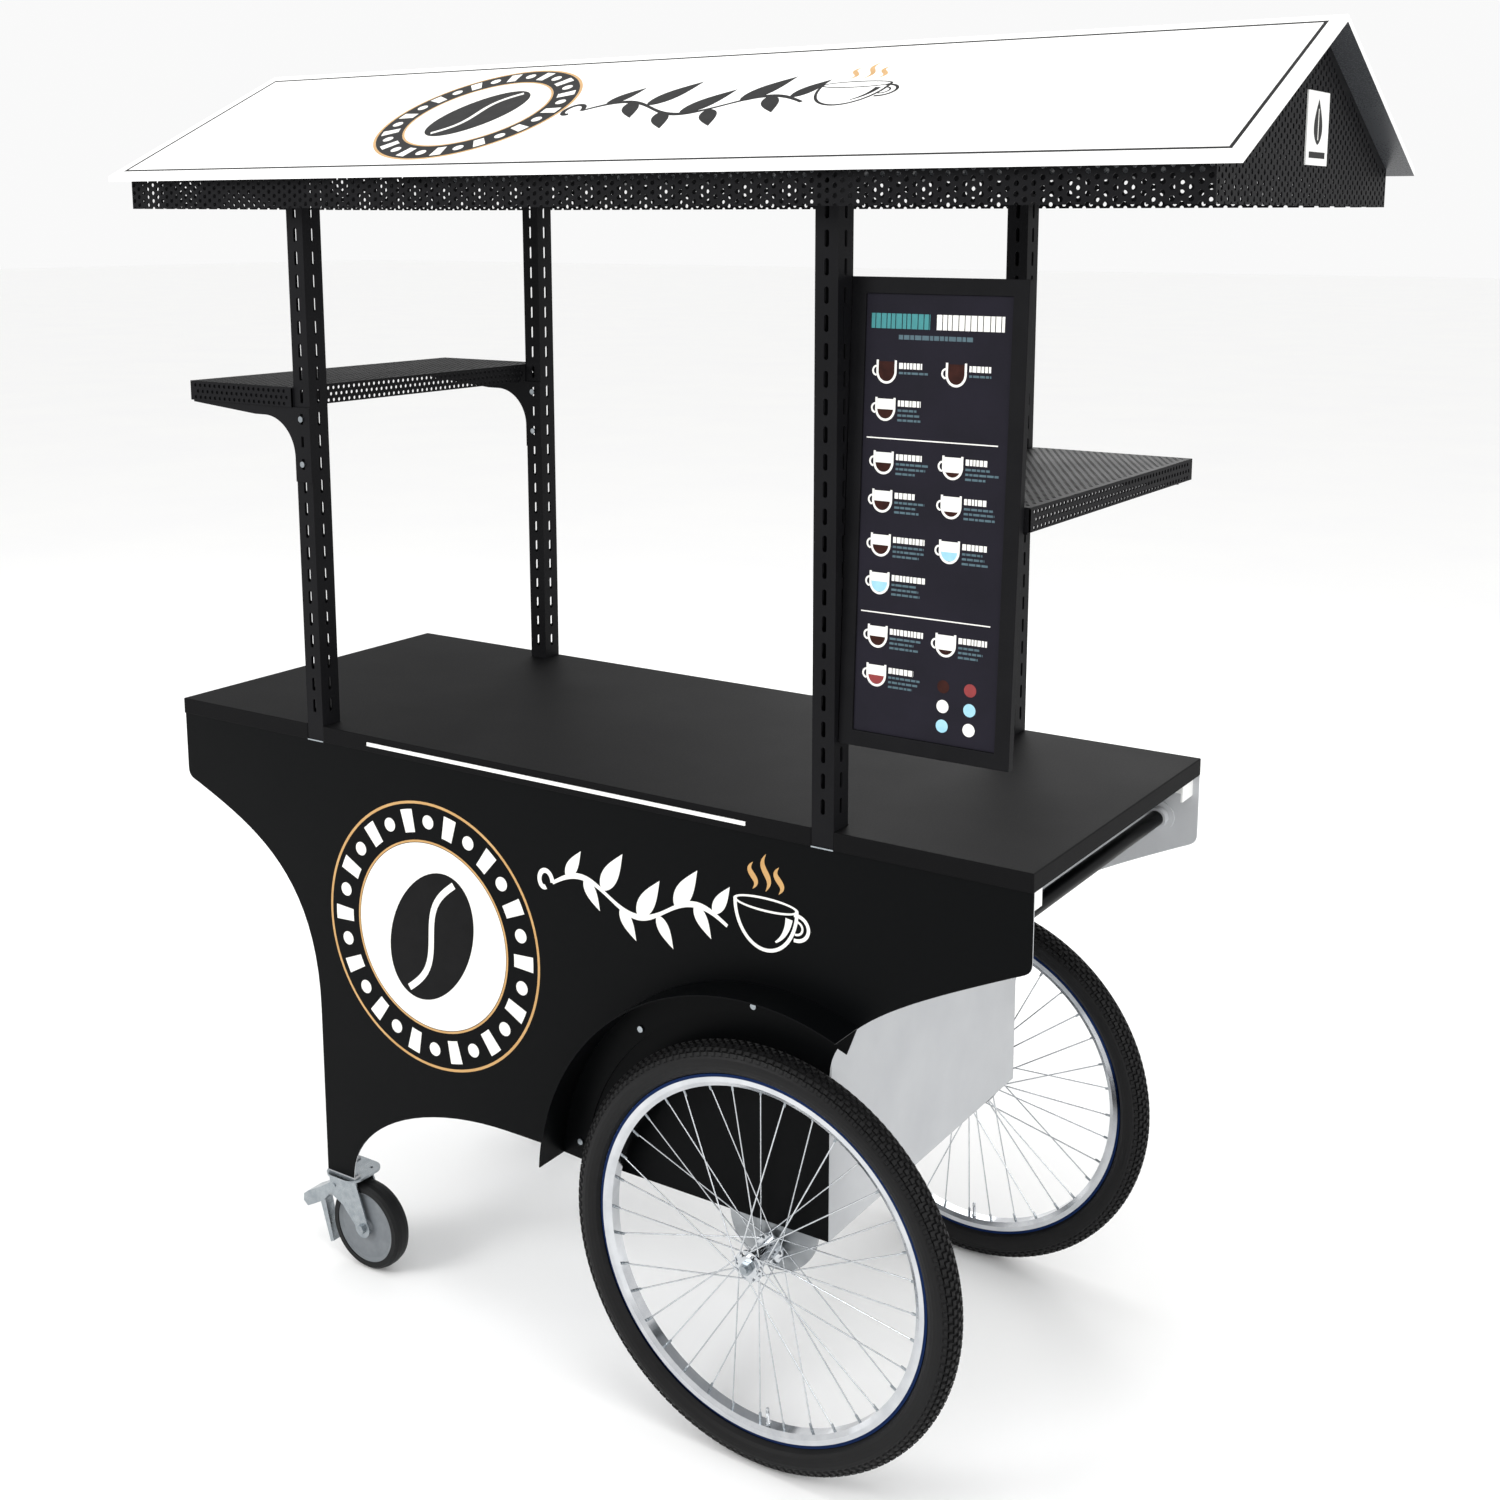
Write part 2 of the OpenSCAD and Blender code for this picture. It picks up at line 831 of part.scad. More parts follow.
module hub_front() { hub(-wheel_y); }
module hub_rear() { hub(wheel_y); }
module spokes_front() { spokes(-wheel_y); }
module spokes_rear() { spokes(wheel_y); }
module rim_front() { rim(-wheel_y); }
module rim_rear() { rim(wheel_y); }
module tyre_front() { tyre(-wheel_y); }
module tyre_rear() { tyre(wheel_y); }

// ---- vendor side doors ----

leaf_w = door_span / 2 - door_gap - 1;

// one leaf with its two hinge knuckles, drawn for the left side
module door_leaf() {
    difference() {
        span([door_x0 + door_gap, panel_y - 16, door_z0 + 2],
            [door_x0 + door_gap + leaf_w, panel_y, door_z0 + door_height - 2]);
        span([door_x0 + door_gap + leaf_w - 78, panel_y - 1, door_z0 + door_height / 2 - 60],
            [door_x0 + door_gap + leaf_w - 12, panel_y + 1, door_z0 + door_height / 2 + 60]);
    }
    for (z = [door_z0 + 60, door_z0 + door_height - 60]) {
        span([door_x0 + door_gap + 4, panel_y, z - 10], [door_x0 + 34, panel_y + 2, z + 10]);
        translate([door_x0, hinge_y, z - 10])
            difference() {
                union() {
                    cylinder(d = 9, h = 20);
                    translate([0, -5, 0])
                        cube([door_gap + 5, 2, 20]);
                }
                translate([0, 0, -1])
                    cylinder(d = 5.1, h = 22);
            }
    }
}

module mirror_door() {
    translate([door_x0 + door_x1, 0, 0])
        scale([-1, 1, 1])
            children();
}

module door_left() {
    color("#202022")
        door_leaf();
}

module door_right() {
    color("#202022")
        mirror_door()
            door_leaf();
}

// fixed knuckles, leaves and pins, both sides
module door_hinges() {
    color("#b9bcbf")
        for (side = [0, 1])
            translate([side * (door_x0 + door_x1), 0, 0])
                scale([side > 0 ? -1 : 1, 1, 1])
                    for (z = [door_z0 + 60, door_z0 + door_height - 60]) {
                        span([door_x0 - 22, panel_y, z - 22], [door_x0 - 5.2, panel_y + 2, z + 22]);
                        for (k = [-1, 1])
                            translate([door_x0, hinge_y, z + k * 16.3 - 6])
                                union() {
                                    cylinder(d = 9, h = 12);
                                    translate([-6, -5, 0])
                                        cube([6, 2, 12]);
                                }
                        translate([door_x0, hinge_y, z - 22.3])
                            cylinder(d = 5, h = 44.6);
                    }
}

// recessed flush pull near the meeting edge
module door_pull() {
    x0 = door_x0 + door_gap + leaf_w - 78;
    difference() {
        span([x0 + 0.3, panel_y - 1, door_z0 + door_height / 2 - 59.7],
            [x0 + 65.7, panel_y + 4, door_z0 + door_height / 2 + 59.7]);
        span([x0 + 14, panel_y + 1, door_z0 + door_height / 2 - 46],
            [x0 + 52, panel_y + 5, door_z0 + door_height / 2 + 46]);
    }
}

module door_pull_left() {
    color("#b9bcbf")
        door_pull();
}

module door_pull_right() {
    color("#b9bcbf")
        mirror_door()
            door_pull();
}

// ---- casters ----

// places its children at a caster's swivel axis on the floor
module at_caster(side) {
    translate([caster_x, side * caster_y, 0])
        children();
}

// top plate with the fixed half of the swivel race
module swivel_plate() {
    difference() {
        union() {
            translate([0, 0, caster_top - 4])
                linear_extrude(4)
                    round_square(caster_plate, 24);
            translate([0, 0, crown_z + 3.4])
                cylinder(r = 25, h = caster_top - 4 - crown_z - 3.4);
        }
        for (dx = [-24, 24], dy = [-20, 20])
            translate([dx, dy, caster_top - 5])
                cylinder(d = 6.2, h = 6);
    }
    translate([0, 0, crown_z - 2])
        cylinder(d = 9, h = 6);
}

// pressed fork: crown, two cheeks and the boss of each cheek
module fork() {
    cheek_y = 19.5;
    difference() {
        union() {
            translate([0, 0, crown_z])
                cylinder(r = 27, h = 3);
            span([brake_x - 10, -cheek_y - 3, crown_z], [26, cheek_y + 3, crown_z + 3]);
        }
        translate([0, 0, crown_z - 1])
            cylinder(d = 9.1, h = 5);
    }
    for (s = [-1, 1])
        scale([1, s, 1])
            xz_sheet(-cheek_y - 3, -cheek_y)
                difference() {
                    union() {
                        polygon([[brake_x - 10, crown_z], [26, crown_z],
                            [caster_trail + 16.5, caster_radius], [caster_trail - 16, caster_radius],
                            [-8, caster_radius + 32], [brake_x - 10, brake_z - 17]]);
                        translate([caster_trail, caster_radius])
                            circle(r = 17);
                    }
                    translate([caster_trail, caster_radius])
                        circle(d = 10.1);
                    translate([brake_x, brake_z])
                        circle(d = 8.1);
                }
}

module wheel_axle() {
    translate([caster_trail, 0, caster_radius])
        rotate([90, 0, 0]) {
            cylinder(d = 10, h = 56, center = true);
            for (s = [-1, 1])
                translate([0, 0, s * 25.6])
                    cylinder(d = 17, h = 6, center = true, $fn = 6);
        }
}

module wheel_centre() {
    translate([caster_trail, 0, caster_radius])
        rotate([90, 0, 0])
            rotate_extrude($fn = 96)
                polygon([[5.05, -19], [13, -19], [15, -12], [caster_radius - 22, -12],
                    [caster_radius - 15, -15], [caster_radius - 15, 15],
                    [caster_radius - 22, 12], [15, 12], [13, 19], [5.05, 19]]);
}

module caster_tread() {
    translate([caster_trail, 0, caster_radius])
        rotate([90, 0, 0])
            rotate_extrude($fn = 96)
                polygon([[caster_radius - 15, -17], [caster_radius - 6, -17],
                    [caster_radius - 1.5, -12], [caster_radius, -5], [caster_radius, 5],
                    [caster_radius - 1.5, 12], [caster_radius - 6, 17],
                    [caster_radius - 15, 17]]);
}

// foot pedal pivoting between the cheeks, with its release tongue below; its
// outline is measured from the caster axle and follows the caster's size
module brake() {
    difference() {
        union() {
            xz_sheet(-17, 17)
                polygon(concat([[brake_x - 4, brake_z - 8], [brake_x + 7, brake_z - 5],
                    [brake_x + 8, brake_z + 6], [brake_x, brake_z + 9]],
                    [for (p = [[-109, 45], [-140, 28], [-151, 19], [-152, 6], [-142, -2],
                        [-123, 8], [-101, 21]])
                        [caster_trail, caster_radius] + p * brake_size]));
            xz_sheet(-9, 9)
                polygon([for (p = [[-117, 12], [-105, 19], [-87, -58], [-95, -62]])
                    [caster_trail, caster_radius] + p * brake_size]);
        }
        y_bar(brake_x, brake_z, 8.1, -40, 40);
    }
}

module brake_pin() {
    y_bar(brake_x, brake_z, 8, -24, 24);
}

module caster_plate_front() { color("#cfd2d4") at_caster(-1) swivel_plate(); }
module caster_plate_rear() { color("#cfd2d4") at_caster(1) swivel_plate(); }
module caster_fork_front() { color("#b4b8bb") at_caster(-1) fork(); }
module caster_fork_rear() { color("#b4b8bb") at_caster(1) fork(); }

module caster_axle_front() {
    color("#c8cbcd")
        at_caster(-1) {
            wheel_axle();
            brake_pin();
        }
}

module caster_axle_rear() {
    color("#c8cbcd")
        at_caster(1) {
            wheel_axle();
            brake_pin();
        }
}

module caster_wheel_front() { color("#a9acb0") at_caster(-1) wheel_centre(); }
module caster_wheel_rear() { color("#a9acb0") at_caster(1) wheel_centre(); }
module caster_tyre_front() { color("#242426") at_caster(-1) caster_tread(); }
module caster_tyre_rear() { color("#242426") at_caster(1) caster_tread(); }
module caster_brake_front() { color("#b4b8bb") at_caster(-1) brake(); }
module caster_brake_rear() { color("#b4b8bb") at_caster(1) brake(); }

front_panel();
rear_panel();
left_end_panel();
right_end_panel();
floor_panel();
body_frame();
worktop();
edge_light_strip();
post_feet();
posts_front();
posts_rear();
tray_left();
tray_right();
gussets_left();
gussets_right();
bolts();
roof_panel_front();
roof_panel_rear();
roof_frame();
canopy_band_front();
canopy_band_rear();
gable_left();
gable_right();
gable_plate();
menu_frame();
menu_panel();
menu_brackets();
push_handle();
handle_flanges();
overhang_brackets();
corner_stiffener();
fender_front();
fender_rear();
axle_plates();
axles();
hub_front();
spokes_front();
rim_front();
tyre_front();
hub_rear();
spokes_rear();
rim_rear();
tyre_rear();
door_left();
door_right();
door_hinges();
door_pull_left();
door_pull_right();
caster_plate_front();
caster_fork_front();
caster_axle_front();
caster_wheel_front();
caster_tyre_front();
caster_brake_front();
caster_plate_rear();
caster_fork_rear();
caster_axle_rear();
caster_wheel_rear();
caster_tyre_rear();
caster_brake_rear();
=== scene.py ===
# Push vending cart: finishes, pierced sheets, tyres and printed decoration
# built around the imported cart. Sizes in the dictionaries are in millimetres.
import math
from fnmatch import fnmatch

import bmesh
import bpy
import numpy as np
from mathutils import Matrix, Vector


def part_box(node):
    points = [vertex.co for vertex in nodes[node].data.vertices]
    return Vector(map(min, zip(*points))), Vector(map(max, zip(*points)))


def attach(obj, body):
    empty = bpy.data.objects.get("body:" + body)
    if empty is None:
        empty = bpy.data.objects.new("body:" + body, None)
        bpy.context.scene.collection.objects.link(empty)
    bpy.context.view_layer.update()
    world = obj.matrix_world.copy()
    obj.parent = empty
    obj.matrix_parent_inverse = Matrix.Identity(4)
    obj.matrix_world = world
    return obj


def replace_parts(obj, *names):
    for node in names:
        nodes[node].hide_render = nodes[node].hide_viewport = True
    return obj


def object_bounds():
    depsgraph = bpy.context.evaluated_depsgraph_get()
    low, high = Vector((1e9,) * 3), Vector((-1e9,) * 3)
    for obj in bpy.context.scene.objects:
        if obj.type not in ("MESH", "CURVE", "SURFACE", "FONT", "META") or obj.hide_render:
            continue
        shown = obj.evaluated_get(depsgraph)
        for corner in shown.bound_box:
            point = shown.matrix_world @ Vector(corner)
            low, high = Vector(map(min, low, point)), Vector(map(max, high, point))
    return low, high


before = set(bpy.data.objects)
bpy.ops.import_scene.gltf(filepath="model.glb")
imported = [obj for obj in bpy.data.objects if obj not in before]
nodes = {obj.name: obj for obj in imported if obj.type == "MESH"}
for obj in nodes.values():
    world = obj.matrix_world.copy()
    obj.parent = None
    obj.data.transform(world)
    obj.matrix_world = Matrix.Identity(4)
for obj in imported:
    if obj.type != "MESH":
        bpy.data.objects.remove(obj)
cadLow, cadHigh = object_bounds()
print("stage: frame loaded")


def boxMm(name):
    # a node's lowest and highest corners, in millimetres
    return [np.array(corner) * 1000 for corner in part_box(name)]


# camera and light

cameraValues = {
    "place": (1674.4, -2458.6, 1844.0),
    "azimuth": 33.19,
    "elevation": 10.11,
    "lens": 44.4,
    "sensor": 36.0,
    "shiftX": 0.0005,
    "shiftY": -0.134,
}


def makeCamera(values):
    # looks along the direction given by the azimuth and the elevation
    azimuth, elevation = math.radians(values["azimuth"]), math.radians(values["elevation"])
    look = Vector((-math.sin(azimuth) * math.cos(elevation),
                   math.cos(azimuth) * math.cos(elevation), -math.sin(elevation)))
    data = bpy.data.cameras.new("camera")
    data.lens = values["lens"]
    data.sensor_width = values["sensor"]
    data.shift_x = values["shiftX"]
    data.shift_y = values["shiftY"]
    data.clip_start, data.clip_end = 0.05, 200.0
    camera = bpy.data.objects.new("camera", data)
    camera.location = Vector(values["place"]) / 1000
    camera.rotation_euler = look.to_track_quat("-Z", "Y").to_euler()
    bpy.context.scene.collection.objects.link(camera)
    bpy.context.scene.camera = camera
    bpy.context.view_layer.update()


makeCamera(cameraValues)

lightValues = {
    # name: (place in metres, size in metres, watts)
    "softKey": ((-2.8, -4.8, 4.2), 2.6, 150),
    "softFill": ((4.8, -1.2, 2.2), 2.4, 60),
    "softTop": ((0.4, -0.4, 5.8), 3.0, 80),
    "softBack": ((-1.5, 4.8, 3.2), 2.6, 60),
}
roomLight = {"colour": "#ffffff", "strength": 0.95}


def makeLights(values):
    # square area lights, each turned to the middle of the cart
    target = Vector((0.0, 0.0, 0.95))
    for name, (place, size, watts) in values.items():
        data = bpy.data.lights.new(name, "AREA")
        data.shape, data.size, data.energy = "SQUARE", size, watts
        light = bpy.data.objects.new(name, data)
        light.location = place
        light.rotation_euler = (target - Vector(place)).to_track_quat("-Z", "Y").to_euler()
        bpy.context.scene.collection.objects.link(light)


makeLights(lightValues)


# materials: each pattern's size is given in millimetres and read from Object coordinates

mixFactor, mixBase, mixOther, mixResult = 0, 6, 7, 2    # the Mix node's colour sockets


def linear(hexColour):
    # sRGB to linear: c / 12.92 up to 0.04045, above it ((c + 0.055) / 1.055) ^ 2.4
    parts = [int(hexColour[i:i + 2], 16) / 255 for i in (1, 3, 5)]
    return [c / 12.92 if c <= 0.04045 else ((c + 0.055) / 1.055) ** 2.4 for c in parts] + [1.0]


def addNode(tree, kind, sockets, out=0, **settings):
    # one node with its settings; a socket takes a value or another node's output, and
    # the node's own output of the given name or number comes back
    node = tree.nodes.new(kind)
    for name, value in settings.items():
        setattr(node, name, value)
    for name, value in sockets.items():
        if isinstance(value, bpy.types.NodeSocket):
            tree.links.new(value, node.inputs[name])
        else:
            node.inputs[name].default_value = value
    return node.outputs[out]


def makeFinish(name, look):
    # mottles two close colours in patches, varies the gloss with a fine grain and raises
    # the grain as a small bump; metal and specular are the same all over the surface
    material = bpy.data.materials.new(name)
    material.use_nodes = True
    tree = material.node_tree
    shader = tree.nodes["Principled BSDF"]
    coords = addNode(tree, "ShaderNodeTexCoord", {}, "Object")
    stretched = addNode(tree, "ShaderNodeMapping", {
        "Vector": coords, "Scale": look.get("stretch", (1, 1, 1))})
    patches = addNode(tree, "ShaderNodeTexNoise", {
        "Vector": coords, "Scale": 1000 / look["patch"], "Detail": 4.0, "Roughness": 0.55}, "Fac")
    grain = addNode(tree, "ShaderNodeTexNoise", {
        "Vector": stretched, "Scale": 1000 / look["grain"], "Detail": 3.0}, "Fac")
    spread = addNode(tree, "ShaderNodeMapRange", {
        "Value": patches, "From Min": 0.3, "From Max": 0.7})
    colourOut = addNode(tree, "ShaderNodeMix", {
        mixFactor: spread, mixBase: linear(look["colour"]), mixOther: linear(look["shade"])},
        mixResult, data_type="RGBA")
    mixed = addNode(tree, "ShaderNodeMath", {0: patches, 1: grain}, operation="ADD")
    gloss = addNode(tree, "ShaderNodeMapRange", {
        "Value": mixed, "From Min": 0.7, "From Max": 1.3,
        "To Min": look["rough"][0], "To Max": look["rough"][1]})
    relief = addNode(tree, "ShaderNodeBump", {
        "Height": grain, "Distance": look["bump"] / 1000, "Strength": 1.0})
    tree.links.new(colourOut, shader.inputs["Base Color"])
    tree.links.new(gloss, shader.inputs["Roughness"])
    tree.links.new(relief, shader.inputs["Normal"])
    shader.inputs["Metallic"].default_value = look.get("metal", 0.0)
    shader.inputs["Specular IOR Level"].default_value = look.get("specular", 0.5)
    return material, tree, shader, colourOut


def faceTowards(tree, direction, limit=0.5):
    # 1 where the surface's own normal leans towards the direction by more than the limit
    normal = addNode(tree, "ShaderNodeTexCoord", {}, "Normal")
    lean = addNode(tree, "ShaderNodeVectorMath", {0: normal, 1: direction}, "Value",
                   operation="DOT_PRODUCT")
    return addNode(tree, "ShaderNodeMath", {0: lean, 1: limit}, operation="GREATER_THAN")


finishLooks = {
    # polyester powder coat on steel sheet: near black with a faint orange-peel skin
    # about 1.5 mm across
    "blackPowderCoat": {"colour": "#060708", "shade": "#08090a", "patch": 180, "grain": 1.6,
        "rough": (0.30, 0.40), "bump": 0.02, "specular": 0.045},
    # the same coat on the narrow posts and brackets, a little greyer and duller
    "postPowderCoat": {"colour": "#101012", "shade": "#151517", "patch": 120, "grain": 1.6,
        "rough": (0.5, 0.6), "bump": 0.03, "specular": 0.08},
    # pale grey coat on the end sheets and on the inside of the sides
    "greyPowderCoat": {"colour": "#bcbec0", "shade": "#b2b4b7", "patch": 160, "grain": 1.6,
        "rough": (0.36, 0.48), "bump": 0.02, "specular": 0.15},
    # white coat on small brackets
    "whitePowderCoat": {"colour": "#f1f1ef", "shade": "#e6e7e5", "patch": 90, "grain": 1.6,
        "rough": (0.34, 0.45), "bump": 0.02},
    # high-pressure laminate: satin black with a pressed leather-like grain about 3 mm across
    "blackLaminate": {"colour": "#0f0f10", "shade": "#121213", "patch": 260, "grain": 2.6,
        "rough": (0.55, 0.62), "bump": 0.05, "specular": 0.045},
    # the laminate's pressed edge, painted paler and glossier than the face: a painted highlight
    # along the eased edge
    "laminateEdgeHighlight": {"colour": "#747476", "shade": "#868688", "patch": 60, "grain": 1.4,
        "rough": (0.25, 0.35), "bump": 0.01},
    # extruded aluminium as it leaves the mill: pale and dull, with fine lines along the tube
    "millAluminium": {"colour": "#a4a7aa", "shade": "#8f9396", "patch": 70, "grain": 2.0,
        "stretch": (0.06, 1, 1), "rough": (0.34, 0.5), "bump": 0.02, "metal": 1.0},
    # bright zinc plate with a slight blue cast and cloudy patches
    "zincPlate": {"colour": "#a5abaf", "shade": "#8f969b", "patch": 14, "grain": 1.2,
        "rough": (0.2, 0.36), "bump": 0.012, "metal": 1.0},
    # chrome plate over polished steel: a clear mirror with a trace of haze
    "chromePlate": {"colour": "#cfd2d5", "shade": "#bcc0c4", "patch": 12, "grain": 0.8,
        "rough": (0.05, 0.14), "bump": 0.004, "metal": 1.0},
    # vulcanised tyre rubber: matt black, dusty in patches, with a grainy skin
    "tyreRubber": {"colour": "#0a0a0b", "shade": "#111112", "patch": 26, "grain": 1.2,
        "rough": (0.45, 0.6), "bump": 0.05, "specular": 0.2},
    # moulded caster tread: smooth dark grey rubber
    "casterRubber": {"colour": "#0e0f10", "shade": "#151617", "patch": 20, "grain": 1.0,
        "rough": (0.5, 0.65), "bump": 0.03, "specular": 0.2},
    # moulded grey nylon caster wheel, slightly waxy
    "casterNylon": {"colour": "#72777b", "shade": "#666b70", "patch": 18, "grain": 0.9,
        "rough": (0.35, 0.5), "bump": 0.02},
    # opal acrylic strip in the worktop's edge: a milky white with a soft shine
    "opalAcrylic": {"colour": "#f6f6f3", "shade": "#ecece9", "patch": 30, "grain": 1.0,
        "rough": (0.28, 0.4), "bump": 0.01},
    # painted board: satin black over a fine brush grain along the board
    "boardPaint": {"colour": "#0e0e10", "shade": "#141416", "patch": 70, "grain": 1.4,
        "stretch": (1, 1, 0.08), "rough": (0.5, 0.6), "bump": 0.03, "specular": 0.08},
    # chalkboard paint: a soft plum grey with wiped, cloudy patches
    "chalkPaint": {"colour": "#1b1a21", "shade": "#211f28", "patch": 90, "grain": 1.0,
        "rough": (0.6, 0.75), "bump": 0.03, "specular": 0.08},
    # cast vinyl film, lying flat with a slight calendered ripple
    "whiteVinyl": {"colour": "#f2f1ec", "shade": "#e8e7e2", "patch": 40, "grain": 1.2,
        "rough": (0.32, 0.42), "bump": 0.01},
    "goldVinyl": {"colour": "#b98d4f", "shade": "#c79d62", "patch": 30, "grain": 1.2,
        "rough": (0.28, 0.4), "bump": 0.01},
    "blackVinyl": {"colour": "#0b0b0c", "shade": "#111112", "patch": 40, "grain": 1.2,
        "rough": (0.32, 0.42), "bump": 0.01, "specular": 0.07},
}
# the menu's screen-printed inks: flat, slightly uneven colours with a dry, matt face
for inkName, colour, shade, specular in (
        ("tealPrint", "#2b7d80", "#35898c", 0.5), ("slatePrint", "#3c5660", "#47626c", 0.5),
        ("brownPrint", "#2a1512", "#3a1e19", 0.08), ("redPrint", "#7c1d20", "#8c2a2c", 0.5),
        ("skyPrint", "#8fc4d6", "#9fd0e0", 0.5)):
    finishLooks[inkName] = {"colour": colour, "shade": shade, "patch": 14, "grain": 1.0,
                            "rough": (0.5, 0.62), "bump": 0.01, "specular": specular}
finishes = {name: makeFinish(name, look)[0] for name, look in finishLooks.items()}


def sidePanelFinish(name, outward):
    # black on the outer face only: the inner face and the cut edges are pale grey
    coat = finishLooks["blackPowderCoat"]
    material, tree, shader, grey = makeFinish(name, finishLooks["greyPowderCoat"])
    black = addNode(tree, "ShaderNodeMix", {
        mixFactor: faceTowards(tree, outward), mixBase: grey, mixOther: linear(coat["shade"])},
        mixResult, data_type="RGBA")
    tree.links.new(black, shader.inputs["Base Color"])
    shader.inputs["Specular IOR Level"].default_value = coat["specular"]
    return material


# aluminium composite sheet: gloss white, with a mid grey on the underside that is painted shade
roofSheet = {"colour": "#f7f7f5", "shade": "#efefee", "patch": 300, "grain": 2.0,
             "rough": (0.22, 0.32), "bump": 0.008, "underside": "#3e4043"}


def roofFinish(name, look):
    # painted shade: a mid grey where the surface faces down, standing in for the shade under the
    # roof
    material, tree, shader, white = makeFinish(name, look)
    grey = addNode(tree, "ShaderNodeMix", {
        mixFactor: faceTowards(tree, (0, 0, -1), 0.3), mixBase: white,
        mixOther: linear(look["underside"])}, mixResult, data_type="RGBA")
    tree.links.new(grey, shader.inputs["Base Color"])
    return material


# polished and anodised rim alloy, brighter than the mill finish and softly brushed, with a
# thin dark blue line round each side beside the tyre
rimAlloy = {"colour": "#d3d5d8", "shade": "#bfc2c6", "patch": 40, "grain": 1.0,
            "rough": (0.06, 0.16), "bump": 0.006, "metal": 1.0,
            "line": "#16264a", "lineRadius": 283.6, "lineWidth": 4.8}


def rimFinish(name, look, centre):
    # the line is where the distance from the wheel's axis is near the line's radius
    material, tree, shader, metal = makeFinish(name, look)
    coords = addNode(tree, "ShaderNodeTexCoord", {}, "Object")
    centred = addNode(tree, "ShaderNodeMapping", {
        "Vector": coords, "Location": (-centre[0] / 1000, 0, -centre[2] / 1000)})
    flat = addNode(tree, "ShaderNodeVectorMath", {0: centred, 1: (1, 0, 1)}, operation="MULTIPLY")
    radius = addNode(tree, "ShaderNodeVectorMath", {0: flat}, "Value", operation="LENGTH")
    away = addNode(tree, "ShaderNodeMath", {0: radius, 1: look["lineRadius"] / 1000},
                   operation="SUBTRACT")
    off = addNode(tree, "ShaderNodeMath", {0: away}, operation="ABSOLUTE")
    inside = addNode(tree, "ShaderNodeMath", {0: off, 1: look["lineWidth"] / 2000},
                     operation="LESS_THAN")
    lined = addNode(tree, "ShaderNodeMix", {
        mixFactor: inside, mixBase: metal, mixOther: linear(look["line"])},
        mixResult, data_type="RGBA")
    tree.links.new(lined, shader.inputs["Base Color"])
    return material


wheelLow, wheelHigh = boxMm("tyre_front")
wheelCentre = (wheelLow + wheelHigh) / 2
wheelRadius = (wheelHigh[2] - wheelLow[2]) / 2
finishes["sidePanelFront"] = sidePanelFinish("coatedSideFront", (0, -1, 0))
finishes["sidePanelRear"] = sidePanelFinish("coatedSideRear", (0, 1, 0))
finishes["roofSheet"] = roofFinish("compositeRoofSheet", roofSheet)
finishes["rimAlloy"] = rimFinish("polishedRimAlloy", rimAlloy, wheelCentre)
print("stage: materials")


# CAD nodes keep their shape and take their finish here; a star stands for both of a pair

nodeFinish = {
    "sidePanelFront": ["front_panel"],
    "sidePanelRear": ["rear_panel"],
    "greyPowderCoat": ["*_end_panel", "floor_panel", "corner_stiffener", "handle_flanges"],
    "whitePowderCoat": ["overhang_brackets", "gable_plate"],
    "blackPowderCoat": ["fender_*", "push_handle"],
    "postPowderCoat": ["posts_*", "gussets_*", "menu_brackets", "tray_*", "canopy_band_*",
                       "gable_left", "gable_right"],
    "millAluminium": ["body_frame", "roof_frame", "axle_plates"],
    "blackLaminate": ["worktop"],
    "opalAcrylic": ["edge_light_strip"],
    "zincPlate": ["post_feet", "bolts", "axles", "door_hinges", "door_pull_*", "caster_plate_*",
                  "caster_fork_*", "caster_axle_*", "caster_brake_*"],
    "roofSheet": ["roof_panel_*"],
    "boardPaint": ["menu_frame", "door_left", "door_right"],
    "chalkPaint": ["menu_panel"],
    "chromePlate": ["hub_*", "spokes_*"],
    "rimAlloy": ["rim_*"],
    "tyreRubber": ["tyre_*"],
    "casterRubber": ["caster_tyre_*"],
    "casterNylon": ["caster_wheel_*"],
}
for finishName, patterns in nodeFinish.items():
    for name in nodes:
        if any(fnmatch(name, pattern) for pattern in patterns):
            nodes[name].data.materials.clear()
            nodes[name].data.materials.append(finishes[finishName])


# mesh building

def addPiece(name, mesh, body):
    # an object at the origin that carries the mesh and rides on its body
    piece = bpy.data.objects.new(name, mesh)
    bpy.context.scene.collection.objects.link(piece)
    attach(piece, body)
    return piece


def buildPiece(name, parts, finish, body, smooth=False):
    # parts are (points, faces) arrays with faces of four corners; they are joined into one
    # mesh, points in millimetres, and doubled points are merged
    points, faces, start = [], [], 0
    for somePoints, someFaces in parts:
        points.append(np.asarray(somePoints, float).reshape(-1, 3))
        faces.append(np.asarray(someFaces, int).reshape(-1, 4) + start)
        start += len(points[-1])
    points, faces = np.concatenate(points) / 1000, np.concatenate(faces)
    mesh = bpy.data.meshes.new(name)
    mesh.vertices.add(len(points))
    mesh.vertices.foreach_set("co", points.astype(np.float32).ravel())
    mesh.loops.add(faces.size)
    mesh.loops.foreach_set("vertex_index", faces.astype(np.int32).ravel())
    mesh.polygons.add(len(faces))
    mesh.polygons.foreach_set("loop_start", (np.arange(len(faces)) * 4).astype(np.int32))
    mesh.update(calc_edges=True)
    mesh.validate()
    work = bmesh.new()
    work.from_mesh(mesh)
    bmesh.ops.remove_doubles(work, verts=work.verts, dist=2e-6)
    bmesh.ops.dissolve_degenerate(work, edges=work.edges, dist=1e-7)
    work.to_mesh(mesh)
    work.free()
    mesh.polygons.foreach_set("use_smooth", np.full(len(mesh.polygons), smooth))
    mesh.materials.append(finishes[finish])
    return addPiece(name, mesh, body)


